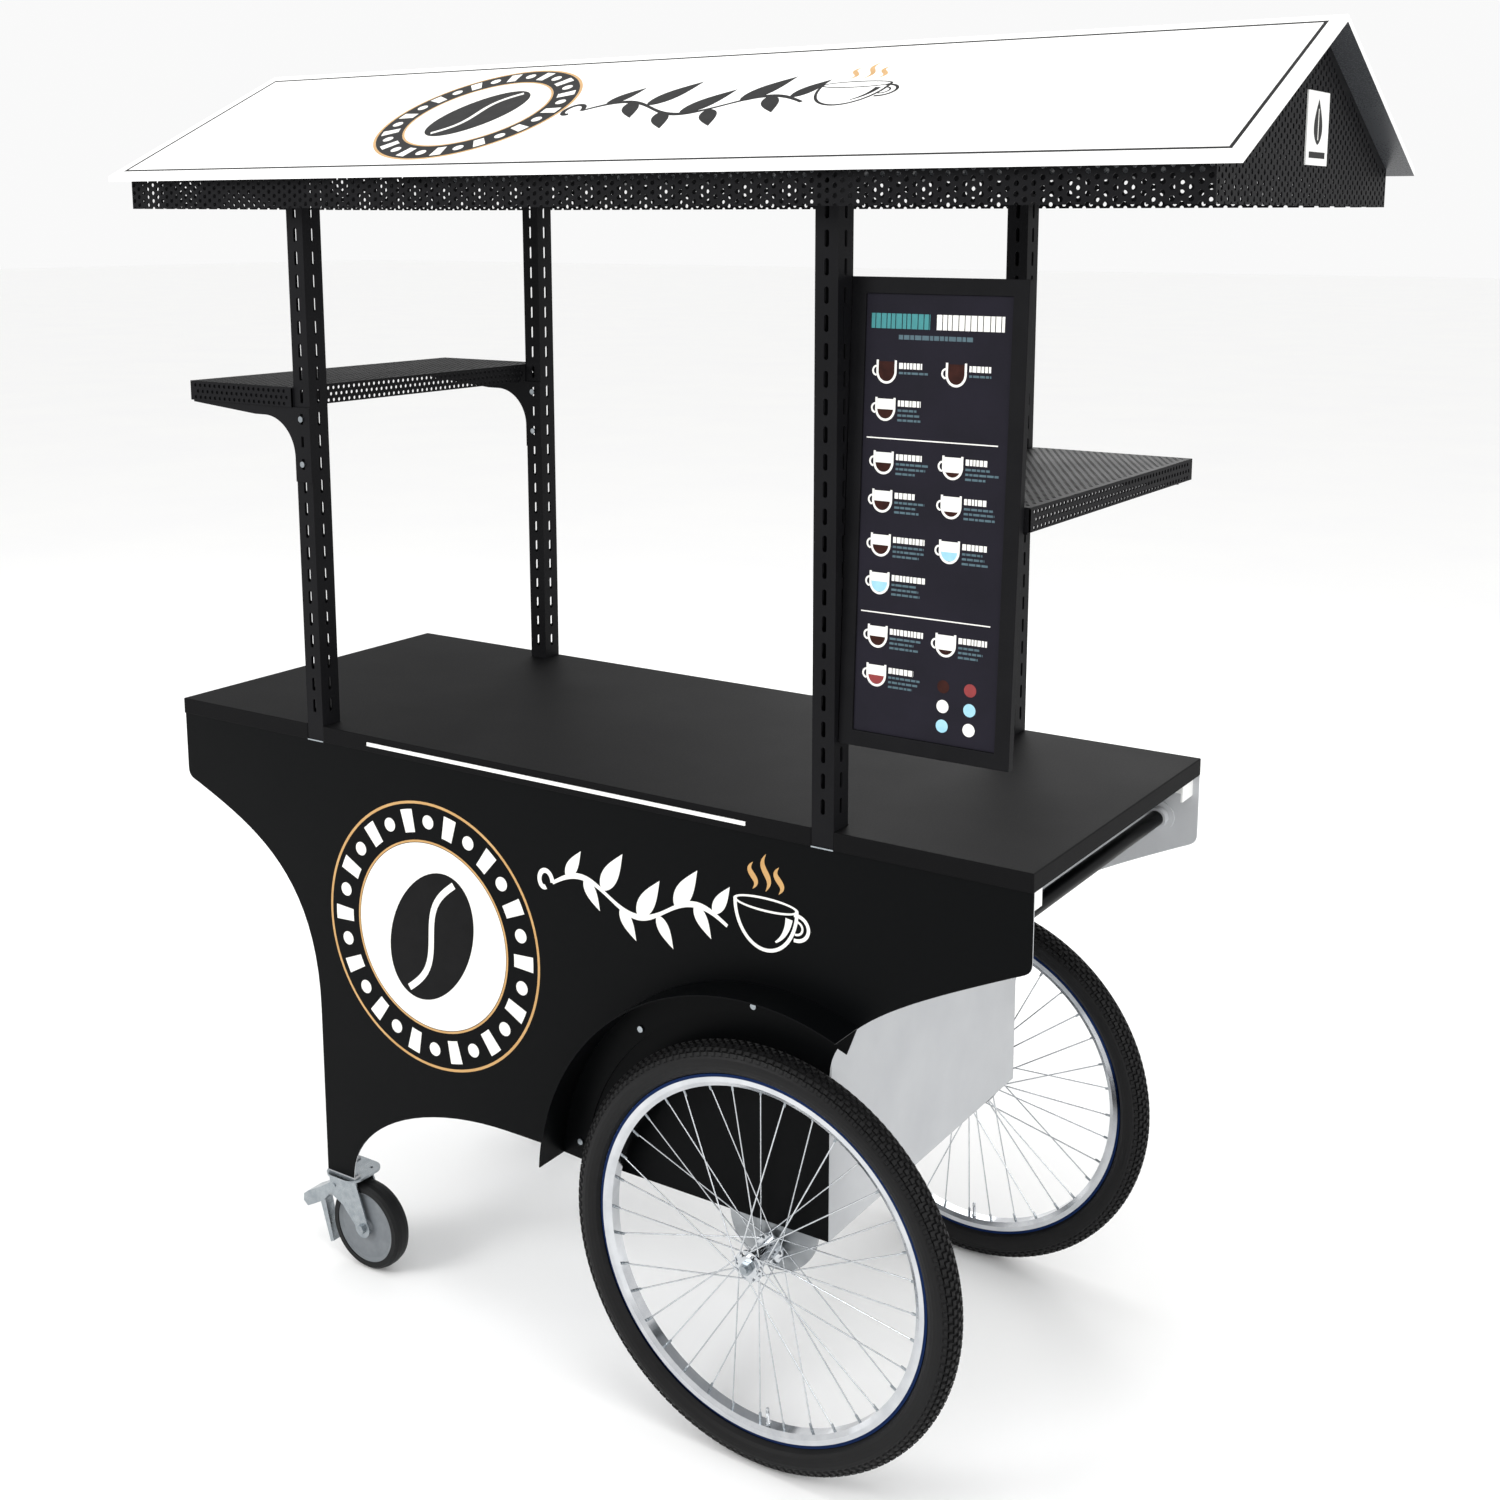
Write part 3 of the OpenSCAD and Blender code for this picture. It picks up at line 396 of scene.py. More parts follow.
def plane(origin, along, up):
    # a flat point (u, v) goes to origin + u along + v up, lifted by depth along the normal
    origin, along, up = (np.array(v, float) for v in (origin, along, up))
    normal = np.cross(along, up)

    def place(flat, depth=0.0):    # the plane's formula on whole arrays
        return origin + flat[..., :1] * along + flat[..., 1:2] * up + depth * normal
    return place


def slab(grid, place, thick, closed=False, base=0.0):
    # a grid of flat points becomes a thin plate: top and bottom faces and walls round its
    # border; closed joins the last row to the first, and a grid that runs clockwise, by the
    # sum of its cells' signed areas, is turned over
    grid = np.asarray(grid, float)
    rows, cols = grid.shape[:2]
    if closed:
        grid = np.concatenate([grid, grid[:1]])
        rows += 1
    a, b = grid[1:, :-1] - grid[:-1, :-1], grid[:-1, 1:] - grid[:-1, :-1]
    c, d = grid[1:, 1:] - grid[1:, :-1], grid[1:, 1:] - grid[:-1, 1:]
    area = a[..., 0] * b[..., 1] - a[..., 1] * b[..., 0]
    area = area + d[..., 0] * c[..., 1] - d[..., 1] * c[..., 0]
    if area.sum() < 0:
        grid = grid[::-1]
    index = np.arange(rows * cols).reshape(rows, cols)
    top = np.stack([index[:-1, :-1], index[1:, :-1], index[1:, 1:], index[:-1, 1:]], -1)
    top = top.reshape(-1, 4)
    pairs = [(index[:-1, 0], index[1:, 0]), (index[1:, -1], index[:-1, -1])]
    if not closed:
        pairs += [(index[-1, :-1], index[-1, 1:]), (index[0, 1:], index[0, :-1])]
    edges = np.concatenate([np.stack(pair, -1) for pair in pairs])
    low = rows * cols
    walls = np.stack([edges[:, 0] + low, edges[:, 1] + low, edges[:, 1], edges[:, 0]], -1)
    points = [place(grid, height).reshape(-1, 3) for height in (base + thick, base)]
    return np.concatenate(points), np.concatenate([top, top[:, ::-1] + low, walls])


def ribbon(path, width):
    # a stroke: the path's points shifted half a width to each side along its normal
    path = np.asarray(path, float)
    run = np.gradient(path, axis=0)
    side = np.stack([-run[:, 1], run[:, 0]], -1)
    side /= np.maximum(np.linalg.norm(side, axis=1, keepdims=True), 1e-9)
    half = np.broadcast_to(np.asarray(width, float) / 2, (len(path),))[:, None]
    return np.stack([path - side * half, path + side * half], 1)


def flatPoints(u, v):
    # two arrays of coordinates, side by side, as flat points
    return np.stack(np.broadcast_arrays(u, v), -1)


def arc(centre, reach, turn):
    # part of an ellipse: centre + (reach u cos a, reach v sin a)
    curve = flatPoints(reach[0] * np.cos(turn), reach[1] * np.sin(turn))
    return np.asarray(centre, float) + curve


def annulus(centre, inner, outer, steps=96, first=0.0, last=360.0):
    # centre + radius (cos a, sin a) at two radii, from one angle to another
    turn = np.radians(np.linspace(first, last, steps + 1))
    if abs(last - first) == 360:
        turn = turn[:-1]
    ring = np.stack([np.cos(turn), np.sin(turn)], -1)
    return np.asarray(centre, float) + np.stack([ring * inner, ring * outer], 1)


def rectangle(low, high):
    # the four corners of an upright rectangle, as a grid two by two
    (u0, v0), (u1, v1) = low, high
    return np.array([[[u0, v0], [u0, v1]], [[u1, v0], [u1, v1]]], float)


# pierced sheets: the eave bands, the gables and the trays

def cellRings(size, radius, level):
    # border and hole of one cell, twelve points each at the same turns; neighbouring lines
    # are half a cell apart, so their shared side has quarter points that meet
    border = np.array([(1, 1), (0, 1), (-1, 1), (-1, 0.5), (-1, 0), (-1, -0.5),
                       (-1, -1), (0, -1), (1, -1), (1, -0.5), (1, 0), (1, 0.5)])
    turn = np.radians(60 + 30 * np.arange(12))
    hole = np.stack([np.cos(turn), np.sin(turn)], -1)
    if level:
        border, hole = border[::-1, ::-1], hole[::-1, ::-1]
    return border * np.array(size) / 2, hole * radius


def piercedSheet(cells, halves, plates, walls, size, radius, place, thick, level=False):
    # a full cell is a rectangle with a round hole at its middle; a half cell is the upper
    # half of one, cut through the hole; plates are plain four-cornered fillers, and walls
    # are the border's segments, run with the sheet on their left
    parts = []
    border, hole = cellRings(size, radius, level)
    j = np.arange(12)
    k = (j + 1) % 12
    cellQuads = np.concatenate([
        np.stack([j, k, k + 12, j + 12], -1),
        np.stack([j + 24, j + 36, k + 36, k + 24], -1),
        np.stack([j + 12, k + 12, k + 36, j + 36], -1)])
    j = np.arange(6)
    k = j + 1
    halfQuads = np.concatenate([
        np.stack([j, k, k + 7, j + 7], -1),
        np.stack([j + 14, j + 21, k + 21, k + 14], -1),
        np.stack([j + 7, k + 7, k + 21, j + 21], -1),
        [[0, 7, 21, 14], [13, 6, 20, 27]]])
    upper = np.r_[10, 11, 0:5]
    shapes = (
        (cells, np.concatenate([border, hole]), cellQuads),
        (halves, np.concatenate([border[upper], hole[upper]]), halfQuads),
        (plates, None, np.array([[0, 1, 2, 3], [7, 6, 5, 4]])))
    for places, shape, quads in shapes:
        if not len(places):
            continue
        flat = np.asarray(places, float)
        if shape is not None:
            flat = shape[None] + flat[:, None]
        points = np.concatenate([place(flat, 0.0), place(flat, -thick)], 1)
        starts = np.arange(len(points))[:, None, None] * points.shape[1]
        parts.append((points, quads[None] + starts))
    ends = np.asarray(walls, float)
    points = np.stack([place(ends[:, n], lift) for n, lift in (
        (0, 0.0), (0, -thick), (1, -thick), (1, 0.0))], 1)
    parts.append((points, np.arange(len(ends) * 4).reshape(-1, 4)))
    return parts


bandValues = {"pitch": 13.1, "gap": 11.63, "hole": 3.7, "sheet": 2.0}


def piercedBand(width, heightAt, place, values):
    # upright lines of holes, every second line half a pitch higher; even lines start with a
    # half hole in the lower edge, and what is left under the slanted top is a plain filler
    count = 2 * round(width / values["gap"] / 2)
    gap, pitch = width / count, values["pitch"]
    cells, halves, plates, walls = [], [], [], []
    for line in range(count):
        left, right = -width / 2 + line * gap, -width / 2 + (line + 1) * gap
        leftTop, rightTop = heightAt(left), heightAt(right)
        start = pitch / 2 if line % 2 == 0 else 0.0
        full = max(0, int((min(leftTop, rightTop) - start) / pitch))
        if start:
            halves.append((left + gap / 2, 0.0))
        else:
            walls.append(((left, 0), (right, 0)))
        middles = start + pitch * (np.arange(full) + 0.5)
        cells.append(np.stack([np.full(full, left + gap / 2), middles], -1))
        top = start + pitch * full
        plates.append([(left, top), (right, top), (right, rightTop), (left, leftTop)])
        walls.append(((right, rightTop), (left, leftTop)))
    walls += [((-width / 2, heightAt(-width / 2)), (-width / 2, 0)),
              ((width / 2, 0), (width / 2, heightAt(width / 2)))]
    return piercedSheet(np.concatenate(cells), halves, plates, walls, (gap, pitch),
                        values["hole"], place, values["sheet"])


def makeCanopySheets():
    # two level bands, and two gables whose top falls evenly from the middle to each eave
    low, high = boxMm("canopy_band_front")
    length, height = high[0] - low[0], high[2] - low[2]
    middle = (low[0] + high[0]) / 2

    def straight(at):    # the same height all along
        return height
    for name, side in (("front", -1), ("rear", 1)):
        face = low[1] if side < 0 else -low[1]
        place = plane((middle, face, low[2]), (-side, 0, 0), (0, 0, 1))
        parts = piercedBand(length, straight, place, bandValues)
        piece = buildPiece(f"pierced_band_{name}", parts, "postPowderCoat", "cart")
        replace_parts(piece, f"canopy_band_{name}")
    gableLow, gableHigh = boxMm("gable_right")
    width, peak = gableHigh[1] - gableLow[1], gableHigh[2] - gableLow[2]
    slope = (peak - height) / (width / 2)

    def slanted(at):    # the peak less the slope times the distance from the middle
        return peak - abs(at) * slope
    for name, side in (("right", 1), ("left", -1)):
        face = gableHigh[0] if side > 0 else -gableHigh[0]
        place = plane((face, 0, gableLow[2]), (0, side, 0), (0, 0, 1))
        parts = piercedBand(width, slanted, place, bandValues)
        piece = buildPiece(f"pierced_gable_{name}", parts, "postPowderCoat", "cart")
        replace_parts(piece, f"gable_{name}")


makeCanopySheets()

trayValues = {"pitch": 12.0, "line": 10.4, "hole": 3.1, "sheet": 2.0, "edge": 5.0}


def piercedPanel(length, width, lines, place, values, notches=()):
    # level lines of holes along the panel, every second line half a pitch along, inside a
    # plain edge; the holes and the sheet beside a bracket are left out
    pitch, gap = values["pitch"], width / lines
    count = int((length - 2 * values["edge"]) / pitch - 0.5)
    line, hole = np.meshgrid(np.arange(lines), np.arange(count), indexing="ij")
    first = (length - (count + 0.5) * pitch) / 2 + (np.arange(lines) % 2) * pitch / 2
    cells = np.stack([first[line] + pitch * (hole + 0.5), gap * (line + 0.5)], -1).reshape(-1, 2)
    for notch in notches:
        cells = cells[np.abs(cells[:, 0] - notch) > pitch * 0.75]
    low, last = gap * np.arange(lines), first + count * pitch
    zero, end = np.zeros(lines), np.full(lines, length)
    plates = np.concatenate([
        np.stack([np.stack(corner, -1) for corner in (
            (start, low), (stop, low), (stop, low + gap), (start, low + gap))], 1)
        for start, stop in ((zero, first), (last, end))])
    corners = [(0, 0), (length, 0), (length, width), (0, width)]
    walls = [(corners[n], corners[(n + 1) % 4]) for n in range(4)]
    return piercedSheet(cells, [], plates, walls, (pitch, gap), values["hole"], place,
                        values["sheet"], True)


def makeTray(side, gussets):
    # a deck and four rims; the inner rim is notched where the brackets pass
    low, high = boxMm(f"tray_{side}")
    reach, depth, rim = high[0] - low[0], high[1] - low[1], high[2] - low[2]
    deck = plane((low[0], low[1], high[2]), (1, 0, 0), (0, 1, 0))
    parts = piercedPanel(reach, depth, int(depth / trayValues["line"]), deck, trayValues)
    rimTall = rim - trayValues["sheet"]
    rimRows = round(rimTall / trayValues["line"])
    base = low[2]
    for origin, along, run, isInner in (
            ((low[0], low[1], base), (1, 0, 0), reach, False),
            ((high[0], high[1], base), (-1, 0, 0), reach, False),
            ((high[0], low[1], base), (0, 1, 0), depth, side == "left"),
            ((low[0], high[1], base), (0, -1, 0), depth, side == "right")):
        place = plane(origin, along, (0, 0, 1))
        marks = []
        if isInner:
            marks = [g - low[1] if along[1] > 0 else high[1] - g for g in gussets]
        parts += piercedPanel(run, rimTall, rimRows, place, trayValues, marks)
    piece = buildPiece(f"pierced_tray_{side}", parts, "postPowderCoat", "cart")
    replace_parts(piece, f"tray_{side}")


for side in ("left", "right"):    # each bracket's middle lies 1 mm inside the pair's box
    gussetLow, gussetHigh = boxMm(f"gussets_{side}")
    makeTray(side, [gussetLow[1] + 1, gussetHigh[1] - 1])
print("stage: pierced sheets")


# bicycle tyres, nipples and valves

tyreValues = {
    "half": 26.5, "grooveDepth": 3.2, "blocks": 152, "samples": 8, "seatLimit": 280.2,
    "hookLimit": 286.4, "hookHalf": 10.7,
    # stations across one half of the section, in degrees from the middle of the tread
    "stations": (0, 1.5, 3, 13, 15, 17, 19, 30, 32, 34, 36, 47, 49, 51, 53, 64, 66, 74, 86,
                 100, 114, 128, 142, 160),
    # block rows: low and high edge in degrees, shift in steps, share of the step they fill
    "rows": ((1, 15, 0.0, 0.62), (17, 32, 0.5, 0.62), (34, 49, 0.0, 0.62), (51, 66, 0.5, 0.5)),
}


def makeTyre(end, wheelY):
    # a ring of round section: radius = ring + section cos c, sideways = section sin c.
    # Blocks stand on it in rows, each a product of a window across the tread and a
    # repeating window round it, and the bead is cut to fit the rim
    around = np.arange(tyreValues["blocks"] * tyreValues["samples"]) * 2 * np.pi
    around = around / (tyreValues["blocks"] * tyreValues["samples"])
    half = list(tyreValues["stations"])
    across = np.radians(np.array(half + [180] + [-a for a in half[:0:-1]], float))
    turn, cut = np.meshgrid(around, across, indexing="ij")
    deg = np.degrees(np.abs(cut))
    step = turn * tyreValues["blocks"] / (2 * np.pi)

    def window(low, high):    # 1 between the two angles, with slopes 2 degrees wide
        return np.clip((deg - low) / 2, 0, 1) * np.clip((high - deg) / 2, 0, 1)

    def repeat(offset, share):    # 1 over the first share of each step round the tyre
        return np.where((step + offset + 0.01) % 1.0 < share, 1.0, 0.0)
    mirror = np.where(cut < 0, 0.5, 0.0)
    knob = np.maximum.reduce([window(low, high) * repeat(mirror + shift, share)
                              for low, high, shift, share in tyreValues["rows"]])
    depth = np.where(deg < 50, tyreValues["grooveDepth"], tyreValues["grooveDepth"] * 0.7)
    section = tyreValues["half"] - depth * (1 - knob)
    section = np.where(deg > 67, tyreValues["half"] - depth * 0.6, section)
    ring = wheelRadius - tyreValues["half"]
    radius = ring + section * np.cos(cut)
    sideways = section * np.sin(cut)
    hooked = np.clip(sideways, -tyreValues["hookHalf"], tyreValues["hookHalf"])
    sideways = np.where(radius < tyreValues["hookLimit"], hooked, sideways)
    radius = np.maximum(radius, tyreValues["seatLimit"])
    points = np.stack([wheelCentre[0] + radius * np.cos(turn), wheelY + sideways,
                       wheelCentre[2] + radius * np.sin(turn)], -1)
    rows, cols = turn.shape
    index = np.arange(rows * cols).reshape(rows, cols)
    right, up = np.roll(index, -1, 0), np.roll(index, -1, 1)
    both = np.roll(right, -1, 1)
    quads = np.stack([index, up, both, right], -1).reshape(-1, 4)
    piece = buildPiece(f"tyre_tread_{end}", [(points, quads)], "tyreRubber", f"wheel_{end}")
    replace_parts(piece, f"tyre_{end}")


wheelMiddle = {"front": wheelCentre[1], "rear": -wheelCentre[1]}
for end, wheelY in wheelMiddle.items():
    makeTyre(end, wheelY)
print("stage: tyres")

fittingValues = {
    "spokes": 36, "wellRadius": 266.5, "spokeSide": 2.94, "valveLong": 25.0,
    "valveTurn": {"front": 273.5, "rear": 272.5},
    # profiles as (height, radius) pairs
    "nipple": ((0, 0), (0, 1.7), (2.2, 2.1), (9.4, 2.1), (10.6, 2.6), (11.0, 2.6), (11.0, 0)),
    "valve": ((0, 0), (0, 2.0), (1.0, 2.7), (7.0, 2.7), (7.6, 2.2), (8.0, 1.8), (8.2, 2.6),
              (22, 2.8), (23, 4.4), (25.2, 4.4), (25.2, 0)),
}


def turned(profile, base, axis, sides):
    # a lathe shape: (height, radius) pairs swept round an axis that starts at base
    base, axis = np.asarray(base, float), np.asarray(axis, float)
    axis = axis / np.linalg.norm(axis)
    across = np.cross(axis, (0.3, 1.0, 0.2))
    across /= np.linalg.norm(across)
    other = np.cross(axis, across)
    turn = np.linspace(0, 2 * np.pi, sides, endpoint=False)
    ring = np.cos(turn)[:, None] * across + np.sin(turn)[:, None] * other
    profile = np.asarray(profile, float)
    points = base + profile[:, :1, None] * axis + profile[:, 1:, None] * ring
    rows, cols = points.shape[:2]
    index = np.arange(rows * cols).reshape(rows, cols)
    after = np.roll(index, -1, 1)
    quads = np.stack([index[:-1], after[:-1], after[1:], index[1:]], -1).reshape(-1, 4)
    return points.reshape(-1, 3), quads


def makeWheelFittings(end, wheelY, values):
    # a flat-sided nipple where each spoke meets the rim, and one valve with its cap; a
    # fitting's foot is centre + (well - its length) out, along its own turn of the wheel
    centre = np.array([wheelCentre[0], wheelY, wheelCentre[2]])
    well, nipple, parts = values["wellRadius"], values["nipple"], []
    for n in range(values["spokes"]):
        angle = math.radians(360 / values["spokes"] * n)
        side = values["spokeSide"] if n % 2 else -values["spokeSide"]
        out = np.array([math.cos(angle), 0, math.sin(angle)])
        start = centre + out * (well - nipple[-1][0] + 0.2) + (0, side, 0)
        parts.append(turned(nipple, start, out, 8))
    buildPiece(f"nipples_{end}", parts, "zincPlate", f"wheel_{end}")
    angle = math.radians(values["valveTurn"][end])
    out = np.array([math.cos(angle), 0, math.sin(angle)])
    parts = [turned(values["valve"], centre + out * (well - values["valveLong"]), out, 16)]
    buildPiece(f"valve_{end}", parts, "chromePlate", f"wheel_{end}", True)


for end, wheelY in wheelMiddle.items():
    makeWheelFittings(end, wheelY, fittingValues)
print("stage: wheel fittings")


# boards with eased edges

boardEdges = {
    # node: (finish, edge finish, slot, body, width of the eased edge)
    # the worktop's edge finish is paler than its face, a painted highlight on the eased edge
    "worktop": ("blackLaminate", "laminateEdgeHighlight", "worktop_board", "cart", 1.6),
    "menu_frame": ("boardPaint", "boardPaint", "menu_board", "cart", 1.0),
    "door_left": ("boardPaint", "boardPaint", "door_board", "door_leaf_left", 1.2),
    "door_right": ("boardPaint", "boardPaint", "door_board", "door_leaf_right", 1.2),
}


def easeEdges(name, finish, edgeFinish, slotName, body, width):
    # the node's own shape with its loose triangles joined and every sharp edge bevelled
    mesh = nodes[name].data.copy()
    work = bmesh.new()
    work.from_mesh(mesh)
    bmesh.ops.remove_doubles(work, verts=work.verts, dist=1e-5)
    bmesh.ops.dissolve_limit(work, angle_limit=math.radians(1), verts=work.verts,
                             edges=work.edges)
    sharp = [e for e in work.edges
             if len(e.link_faces) == 2 and e.calc_face_angle() > math.radians(35)]
    made = bmesh.ops.bevel(work, geom=sharp, offset=width / 1000, segments=2, profile=0.5,
                           affect="EDGES", clamp_overlap=True)
    # the bevel's faces take the edge finish; on the worktop that is a painted highlight
    for face in made["faces"]:
        face.material_index = 1
    work.to_mesh(mesh)
    work.free()
    mesh.materials.clear()
    mesh.materials.append(finishes[finish])
    mesh.materials.append(finishes[edgeFinish])
    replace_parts(addPiece(f"{name}_eased", mesh, body), name)


for name, values in boardEdges.items():
    easeEdges(name, *values)
print("stage: eased boards")


# vinyl and print

def beanOutline(centre, size, turnDeg, steps=40):
    # a coffee bean: an ellipse, and the wavy cleft through it as a separate stroke
    turn = np.linspace(0, 2 * np.pi, steps, endpoint=False)
    ring = arc((0, 0), (0.5 * size, 0.34 * size), turn)
    cleft = np.linspace(-0.46, 0.46, 24)
    wave = flatPoints(cleft * size, 0.07 * size * np.sin(cleft * 6.8))
    a = math.radians(turnDeg)
    spin = np.array([[math.cos(a), math.sin(a)], [-math.sin(a), math.cos(a)]])
    centre = np.asarray(centre, float)
    ringGrid = np.stack([ring * 0.0, ring], 1) @ spin + centre
    return ringGrid, wave @ spin + centre


def leafGrid(base, tip, width, steps=14):
    # a leaf: a spindle between two points, widest a third of the way along
    base, tip = np.asarray(base, float), np.asarray(tip, float)
    t = np.linspace(0, 1, steps)[:, None]
    axis = tip - base
    side = np.array([-axis[1], axis[0]]) / np.linalg.norm(axis)
    half = width / 2 * np.sin(np.pi * t ** 0.7)
    line = base + axis * t
    return np.stack([line - side * half, line + side * half], 1)


# as shares of the roundel's radius, but for the count of bars and beads and the bean's turn
roundelValues = {"border": 28, "borderAt": 0.855, "borderTall": 0.17, "disc": 0.7,
                 "bean": 1.06, "beanTurn": 62}


def roundelParts(centre, outer, place, thick, darkRing):
    # gold line, an even border of bars and beads in turn, gold line, white disc and a bean
    gold, pale, dark = [], [], []
    centre = np.asarray(centre, float)
    disc = outer * roundelValues["disc"]
    gold.append(slab(annulus(centre, outer - 4.5, outer), place, thick, True))
    gold.append(slab(annulus(centre, disc, disc + 3.5), place, thick, True))
    if darkRing:
        dark.append(slab(annulus(centre, disc + 3.7, outer - 4.7), place, thick, True))
    mid, tall = outer * roundelValues["borderAt"], outer * roundelValues["borderTall"]
    lift = thick if darkRing else 0.0
    span = math.degrees(tall * 0.3 / mid)
    for n in range(roundelValues["border"]):
        angle = 360 / roundelValues["border"] * n
        if n % 2:
            spot = arc(centre, (mid, mid), math.radians(angle))
            pale.append(slab(annulus(spot, 0, tall * 0.3, 24), place, thick, True, lift))
        else:
            bar = annulus(centre, mid - tall / 2, mid + tall / 2, 6, angle - span, angle + span)
            pale.append(slab(bar, place, thick, False, lift))
    pale.append(slab(annulus(centre, 0, disc * 0.993), place, thick, True))
    ring, cleft = beanOutline(centre, outer * roundelValues["bean"],
                              roundelValues["beanTurn"], 64)
    dark.append(slab(ring, place, thick, True, thick))
    pale.append(slab(ribbon(cleft, outer * 0.05), place, thick, False, 2 * thick))
    return gold, pale, dark


def vineParts(low, length, tall, stroke, place, thick):
    # a sine wave for a stem with leaves above and below it in turn, and a curl at its start
    # whose radius shrinks evenly as it turns
    parts = []
    u = np.linspace(0, length, 120)
    wave = np.sin(u / length * 3 * np.pi)
    stem = flatPoints(low[0] + u, low[1] + tall * (0.45 + 0.16 * wave))
    parts.append(slab(ribbon(stem, stroke * (0.7 + 0.5 * wave ** 2)), place, thick))
    for n, share in enumerate(np.linspace(0.09, 0.93, 9)):
        k = int(share * 119)
        sign = 1 if n % 2 == 0 else -1
        reach = tall * (0.5 if n in (2, 4, 6) else 0.36)
        tip = stem[k] + np.array([reach * 0.62, sign * reach])
        parts.append(slab(leafGrid(stem[k], tip, reach * 0.44), place, thick, False, 0.02))
    curl = np.linspace(0, 1.6 * np.pi, 40)
    reach = tall * (1 - curl / 9)
    spiral = arc(stem[0] - (tall * 0.12, 0), (0.12 * reach, 0.16 * reach), curl)
    parts.append(slab(ribbon(spiral, stroke), place, thick, False, 0.04))
    return parts


def cupParts(centre, size, stroke, place, thick):
    # a round-bottomed cup seen a little from above, a glint on it, its double handle and
    # three wisps of steam: its lines are parts of ellipses, and a wisp is a rising sine wave
    full = np.linspace(0, 2 * np.pi, 64, endpoint=False)
    under = np.linspace(np.pi, 2 * np.pi, 48)
    right = np.linspace(-0.55 * np.pi, 0.55 * np.pi, 32)
    centre = np.asarray(centre, float)
    lip, grip = centre + (0, size * 0.3), centre + (size * 0.46, size * 0.08)
    rim = [arc(lip, (size * 0.5 - stroke, size * 0.1 - stroke * 0.6), full),
           arc(lip, (size * 0.5, size * 0.1), full)]
    bowl = arc(lip, (size * 0.5 - stroke / 2, size * 0.62), under)
    glint = arc(centre + (0, size * 0.24), (size * 0.36, size * 0.46), under[30:46])
    handle = arc(grip, (size * 0.19, size * 0.17), right)
    inner = arc(grip, (size * 0.1, size * 0.09), right)
    line = [slab(np.stack(rim, 1), place, thick, True),
            slab(ribbon(bowl, stroke), place, thick, False, 0.02),
            slab(ribbon(glint, stroke * np.linspace(0.5, 2.2, 16)), place, thick),
            slab(ribbon(handle, stroke), place, thick, False, 0.04),
            slab(ribbon(inner, stroke * 0.6), place, thick, False, 0.06)]
    rise, wisps = np.linspace(0, 1, 30), []
    for shift, tallness in ((-0.2, 0.36), (0.0, 0.5), (0.2, 0.36)):
        wisp = centre + size * flatPoints(shift + 0.05 * np.sin(rise * 2 * np.pi),
                                          0.48 + rise * tallness)
        wisps.append(slab(ribbon(wisp, stroke * 1.6 * np.sin(np.pi * rise) + 0.6), place, thick))
    return line, wisps


frontGraphic = {
    "thick": 0.25, "roundel": (-358, 672), "radius": 232, "vine": (-97, 760),
    "vineSize": (330, 132), "stem": 8, "cup": (300, 833), "cupSize": 112, "cupLine": 5.5,
}
frontPlace = plane((0, boxMm("front_panel")[0][1], 0), (1, 0, 0), (0, 0, 1))


def makeFrontGraphic(values):
    # roundel, vine and cup side by side on the front sheet
    thick = values["thick"]
    gold, pale, dark = roundelParts(values["roundel"], values["radius"], frontPlace, thick,
                                    False)
    pale += vineParts(values["vine"], *values["vineSize"], values["stem"], frontPlace, thick)
    line, wisps = cupParts(values["cup"], values["cupSize"], values["cupLine"], frontPlace, thick)
    buildPiece("front_vinyl_white", pale + line, "whiteVinyl", "cart")
    buildPiece("front_vinyl_gold", gold + wisps, "goldVinyl", "cart")
    buildPiece("front_vinyl_black", dark, "blackVinyl", "cart")


makeFrontGraphic(frontGraphic)

roofGraphic = {
    "thick": 0.25, "rise": 186.0, "border": 19, "borderWide": 5, "roundel": (-319, 212),
    "radius": 172, "vine": (-108, 130), "vineSize": (390, 170), "stem": 8, "cup": (342, 228),
    "cupSize": 116, "cupLine": 4.5,
}
roofLow, roofHigh = boxMm("roof_panel_front")
roofWide, roofRise = -roofLow[1], roofGraphic["rise"]
slopeLength = math.hypot(roofWide, roofRise)


def makeRoofGraphic(values):
    # a thin line parallel to the slope's four edges, and the same decoration in each slope
    thick = values["thick"]
    for name, side in (("front", -1), ("rear", 1)):
        up = (0, -side * roofWide / slopeLength, roofRise / slopeLength)
        place = plane((0, side * roofWide, cadHigh.z * 1000 - roofRise), (-side, 0, 0), up)
        edge, wide = values["border"], values["borderWide"]
        left, right, low, top = roofLow[0] + edge, roofHigh[0] - edge, edge, slopeLength - edge
        ink = [slab(rectangle(*corners), place, thick) for corners in (
            ((left, low), (right, low + wide)), ((left, top - wide), (right, top)),
            ((left, low + wide), (left + wide, top - wide)),
            ((right - wide, low + wide), (right, top - wide)))]
        gold, pale, dark = roundelParts(values["roundel"], values["radius"], place, thick, True)
        ink += dark + vineParts(values["vine"], *values["vineSize"], values["stem"], place, thick)
        line, wisps = cupParts(values["cup"], values["cupSize"], values["cupLine"], place, thick)
        buildPiece(f"roof_vinyl_black_{name}", ink + line, "blackVinyl", "cart")
        buildPiece(f"roof_vinyl_gold_{name}", gold + wisps, "goldVinyl", "cart")
        buildPiece(f"roof_vinyl_white_{name}", pale, "whiteVinyl", "cart")


makeRoofGraphic(roofGraphic)

plateValues = {"thick": 0.25, "band": (9, 17), "margin": 12, "leaf": (26, 84), "leafWide": 36,
               "rib": 2.6}


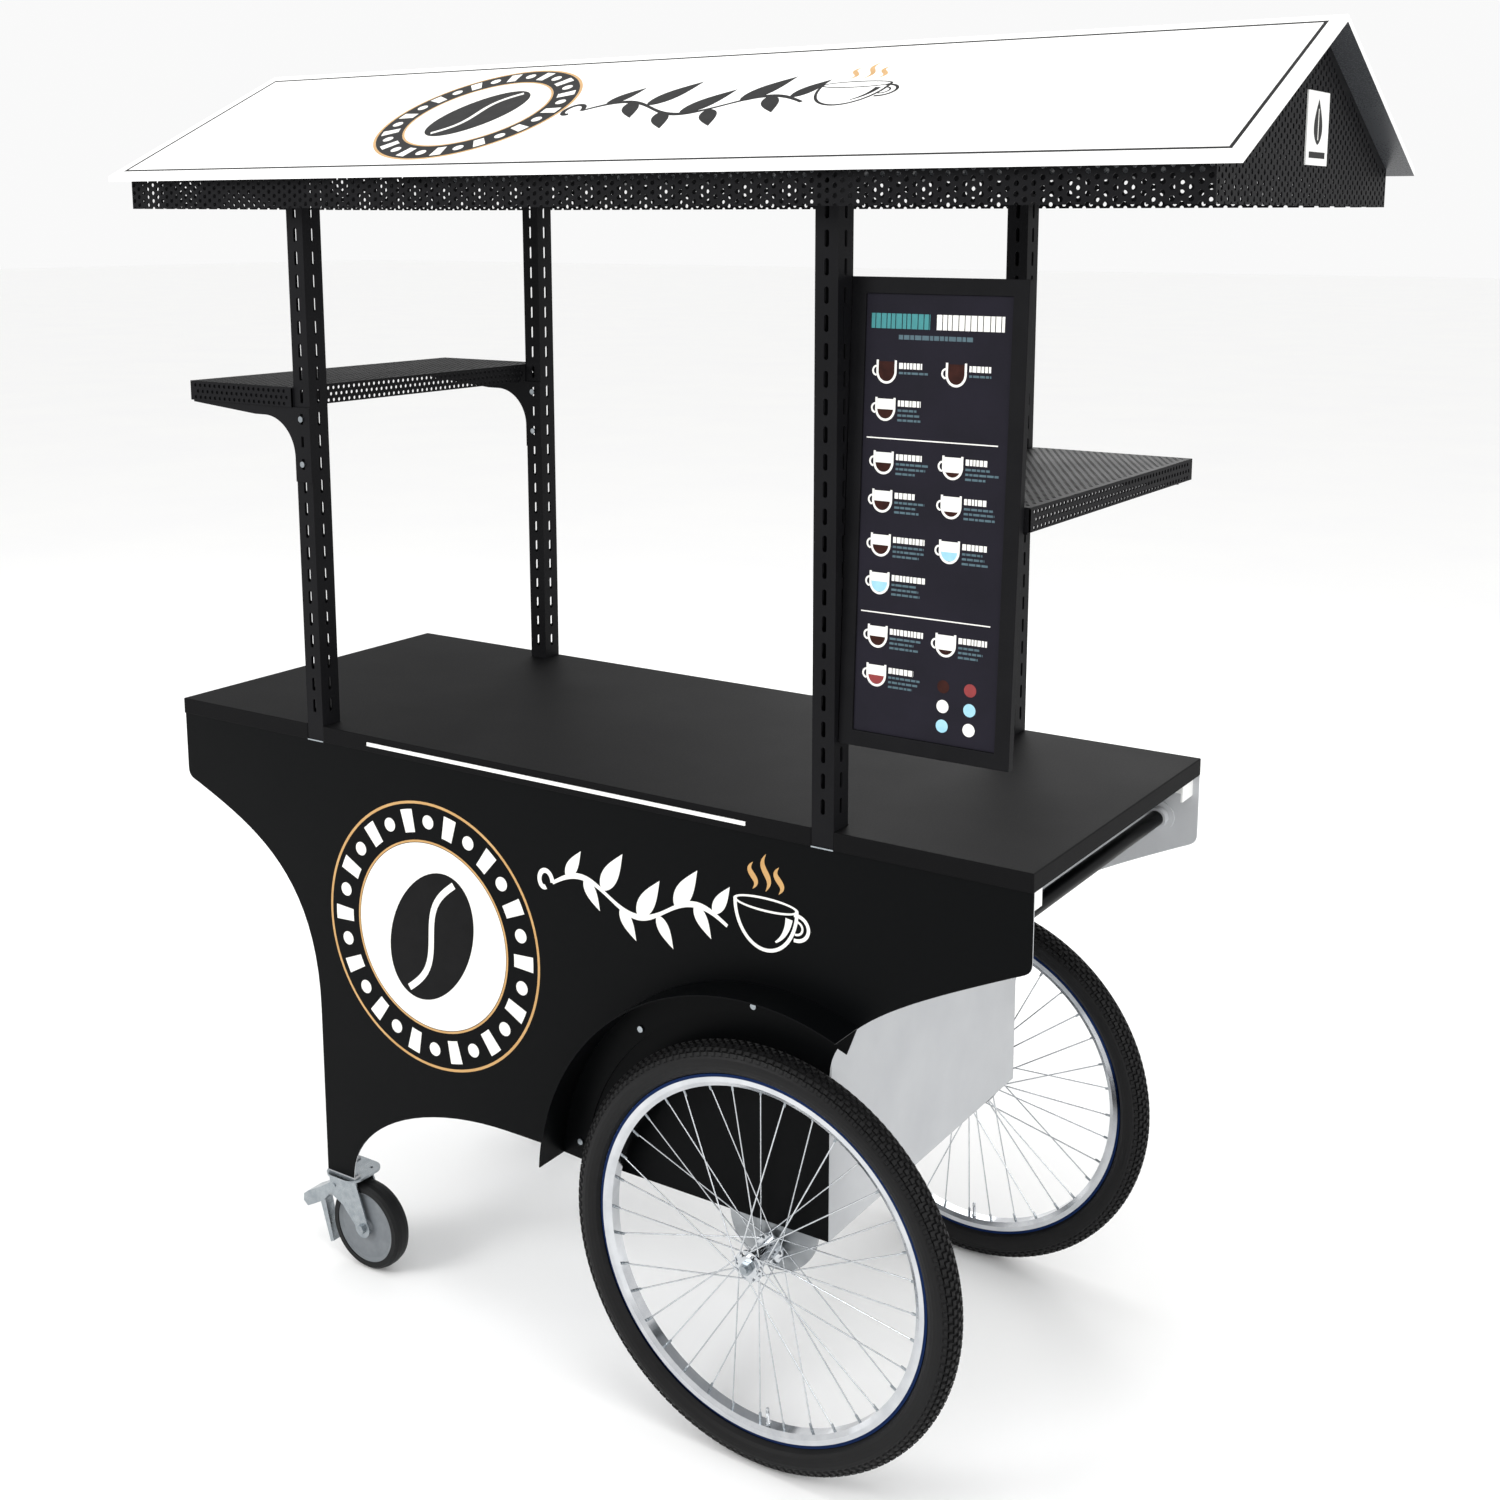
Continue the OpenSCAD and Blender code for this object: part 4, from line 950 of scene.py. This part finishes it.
def makePlateGraphic(values):
    # one upright leaf with a pale midrib, over a plain band
    low, high = boxMm("gable_plate")
    place = plane((high[0], (low[1] + high[1]) / 2, low[2]), (0, 1, 0), (0, 0, 1))
    thick, half = values["thick"], (high[1] - low[1]) / 2 - values["margin"]
    band = rectangle((-half, values["band"][0]), (half, values["band"][1]))
    foot, tip = values["leaf"]
    leaf = leafGrid((0, foot), (0, tip), values["leafWide"], 24)
    rib = flatPoints(0.0, np.linspace(foot + 6, tip - 12, 16))
    dark = [slab(band, place, thick), slab(leaf, place, thick)]
    pale = [slab(ribbon(rib, values["rib"]), place, thick, False, thick)]
    buildPiece("plate_vinyl_black", dark, "blackVinyl", "cart")
    buildPiece("plate_vinyl_white", pale, "whiteVinyl", "cart")


makePlateGraphic(plateValues)
print("stage: vinyl")


# menu board print

menuValues = {
    "thick": 0.2, "lean": 2.5, "cup": 30.0, "left": 8, "column": 104, "seed": 11, "barGap": 1.3,
    "inks": ("whiteVinyl", "tealPrint", "slatePrint", "brownPrint", "redPrint", "skyPrint"),
    # heading: ink, left, distance from the top, length, height, narrowest and widest bar
    "heading": (("tealPrint", 8, 26, 88, 20, 5, 9), ("whiteVinyl", 106, 26, 98, 20, 5, 9),
                ("slatePrint", 50, 54, 110, 6, 4, 11)),
    # rows: distance from the top, then each cup's level and ink; a full cup has one line
    # of small bars beside it, and the others have three
    "rows": ((88, (1.0, "brownPrint"), (1.0, "brownPrint")),
             (138, (0.5, "brownPrint")),
             (210, (0.5, "brownPrint"), (0.32, "brownPrint")),
             (262, (0.5, "brownPrint"), (0.32, "brownPrint")),
             (322, (0.55, "brownPrint"), (0.55, "skyPrint")),
             (374, (0.6, "skyPrint")),
             (448, (0.5, "brownPrint"), (0.32, "brownPrint")),
             (502, (0.5, "redPrint"))),
    "rules": (192, 430), "dotsTop": 520, "dotsLeft": 136, "dotStep": (40, 27), "dot": 9,
    "dots": (("brownPrint", "redPrint"), ("whiteVinyl", "skyPrint"), ("skyPrint", "whiteVinyl")),
}
menuLow, menuHigh = boxMm("menu_panel")


def menuCup(left, base, size, level, place, thick):
    # the outline is two uprights joined by half an ellipse, with a round grip; the drink
    # fills the same shape, drawn in, up to the level, and white fills the rest
    mid = left + size * 0.5
    bowl = arc((mid, base + size * 0.5), (size * 0.46, size * 0.5),
               np.linspace(np.pi, 2 * np.pi, 28))
    tops = flatPoints(bowl[[0, -1], 0], base + size)
    path = np.concatenate([tops[:1], bowl, tops[1:]])
    grip = arc((left, base + size * 0.52), (5.5, 6), np.linspace(0.5 * np.pi, 1.5 * np.pi, 16))
    heights = np.linspace(0.07, 0.94, 14) * size
    drop = np.clip(size * 0.5 - heights, 0, None) / (size * 0.46)
    half = size * 0.4 * np.sqrt(np.clip(1 - drop ** 2, 0, 1))
    body = np.stack([flatPoints(mid - half, base + heights),
                     flatPoints(mid + half, base + heights)], 1)
    cut = max(2, int(level * 14))
    white = [slab(ribbon(path, 3.2), place, thick, False, 0.1),
             slab(ribbon(grip, 2.6), place, thick, False, 0.15)]
    if cut < 13:
        white.append(slab(body[cut - 1:], place, thick))
    return white, slab(body[:cut], place, thick)


def makeMenuPrint(values):
    # cups in two columns with short bars beside them, two rules, a heading of bars and six
    # dots, all on the board's leaning face
    rng = np.random.default_rng(values["seed"])
    lean, thick, size = math.radians(values["lean"]), values["thick"], values["cup"]
    up = np.array([0, math.sin(lean), math.cos(lean)])
    place = plane((menuLow[0], menuLow[1], menuLow[2] + 0.2), (1, 0, 0), up)
    wide = menuHigh[0] - menuLow[0]
    tall = (menuHigh[2] - menuLow[2]) / math.cos(lean)
    ink = {name: [] for name in values["inks"]}

    def bars(finish, left, top, length, height, low, high):
        # a row of bars of chance widths between low and high, an even gap apart
        at = left
        while at < left + length:
            step = rng.uniform(low, high)
            bar = rectangle((at, top - height), (min(at + step, left + length), top))
            ink[finish].append(slab(bar, place, thick))
            at += step + values["barGap"]

    for finish, left, down, *rest in values["heading"]:
        bars(finish, left, tall - down, *rest)
    for down, *cups in values["rows"]:
        for column, (level, finish) in enumerate(cups):
            left = values["left"] + values["column"] * column + 10
            base = tall - down - size
            white, drink = menuCup(left, base, size, level, place, thick)
            ink["whiteVinyl"] += white
            ink[finish].append(drink)
            textLeft = left + size + 4
            bars("whiteVinyl", textLeft, base + size - 3, rng.uniform(30, 52), 8, 3, 6)
            for n in range(1 if level == 1.0 else 3):
                lineTop = base + size - 15 - 6.5 * n
                bars("slatePrint", textLeft, lineTop, rng.uniform(28, 50), 3, 4, 10)
    for down in values["rules"]:
        rule = rectangle((6, tall - down - 1.6), (wide - 14, tall - down))
        ink["whiteVinyl"].append(slab(rule, place, thick))
    for row, pair in enumerate(values["dots"]):
        for column, finish in enumerate(pair):
            spot = (values["dotsLeft"] + values["dotStep"][0] * column,
                    tall - values["dotsTop"] - values["dotStep"][1] * row)
            ink[finish].append(slab(annulus(spot, 0, values["dot"], 24), place, thick, True))
    for finish, parts in ink.items():
        buildPiece(f"menu_print_{finish}", parts, finish, "cart")


makeMenuPrint(menuValues)
print("stage: menu")


# floor

floorValues = {"size": 120.0}
# painted studio floor: near white and matt, with a rolled texture about 8 mm across
floorLook = {"colour": "#fdfdfc", "shade": "#fbfbfb", "patch": 900, "grain": 8.0,
             "rough": (0.8, 0.9), "bump": 0.01, "specular": 0.1}
finishes["studioFloor"] = makeFinish("studioFloorPaint", floorLook)[0]


def makeFloor(values):
    # one wide flat square at the height the wheels stand on
    half = values["size"] / 2
    mesh = bpy.data.meshes.new("studio_floor")
    corners = [(-half, -half, 0), (half, -half, 0), (half, half, 0), (-half, half, 0)]
    mesh.from_pydata(corners, [], [(0, 1, 2, 3)])
    mesh.materials.append(finishes["studioFloor"])
    floor = bpy.data.objects.new("studio_floor", mesh)
    bpy.context.scene.collection.objects.link(floor)


makeFloor(floorValues)
world = bpy.data.worlds.new("studio")
world.use_nodes = True
background = world.node_tree.nodes["Background"]
background.inputs["Color"].default_value = linear(roomLight["colour"])
background.inputs["Strength"].default_value = roomLight["strength"]
bpy.context.scene.world = world
bpy.context.scene.view_settings.view_transform = "Standard"

print("stage: done")
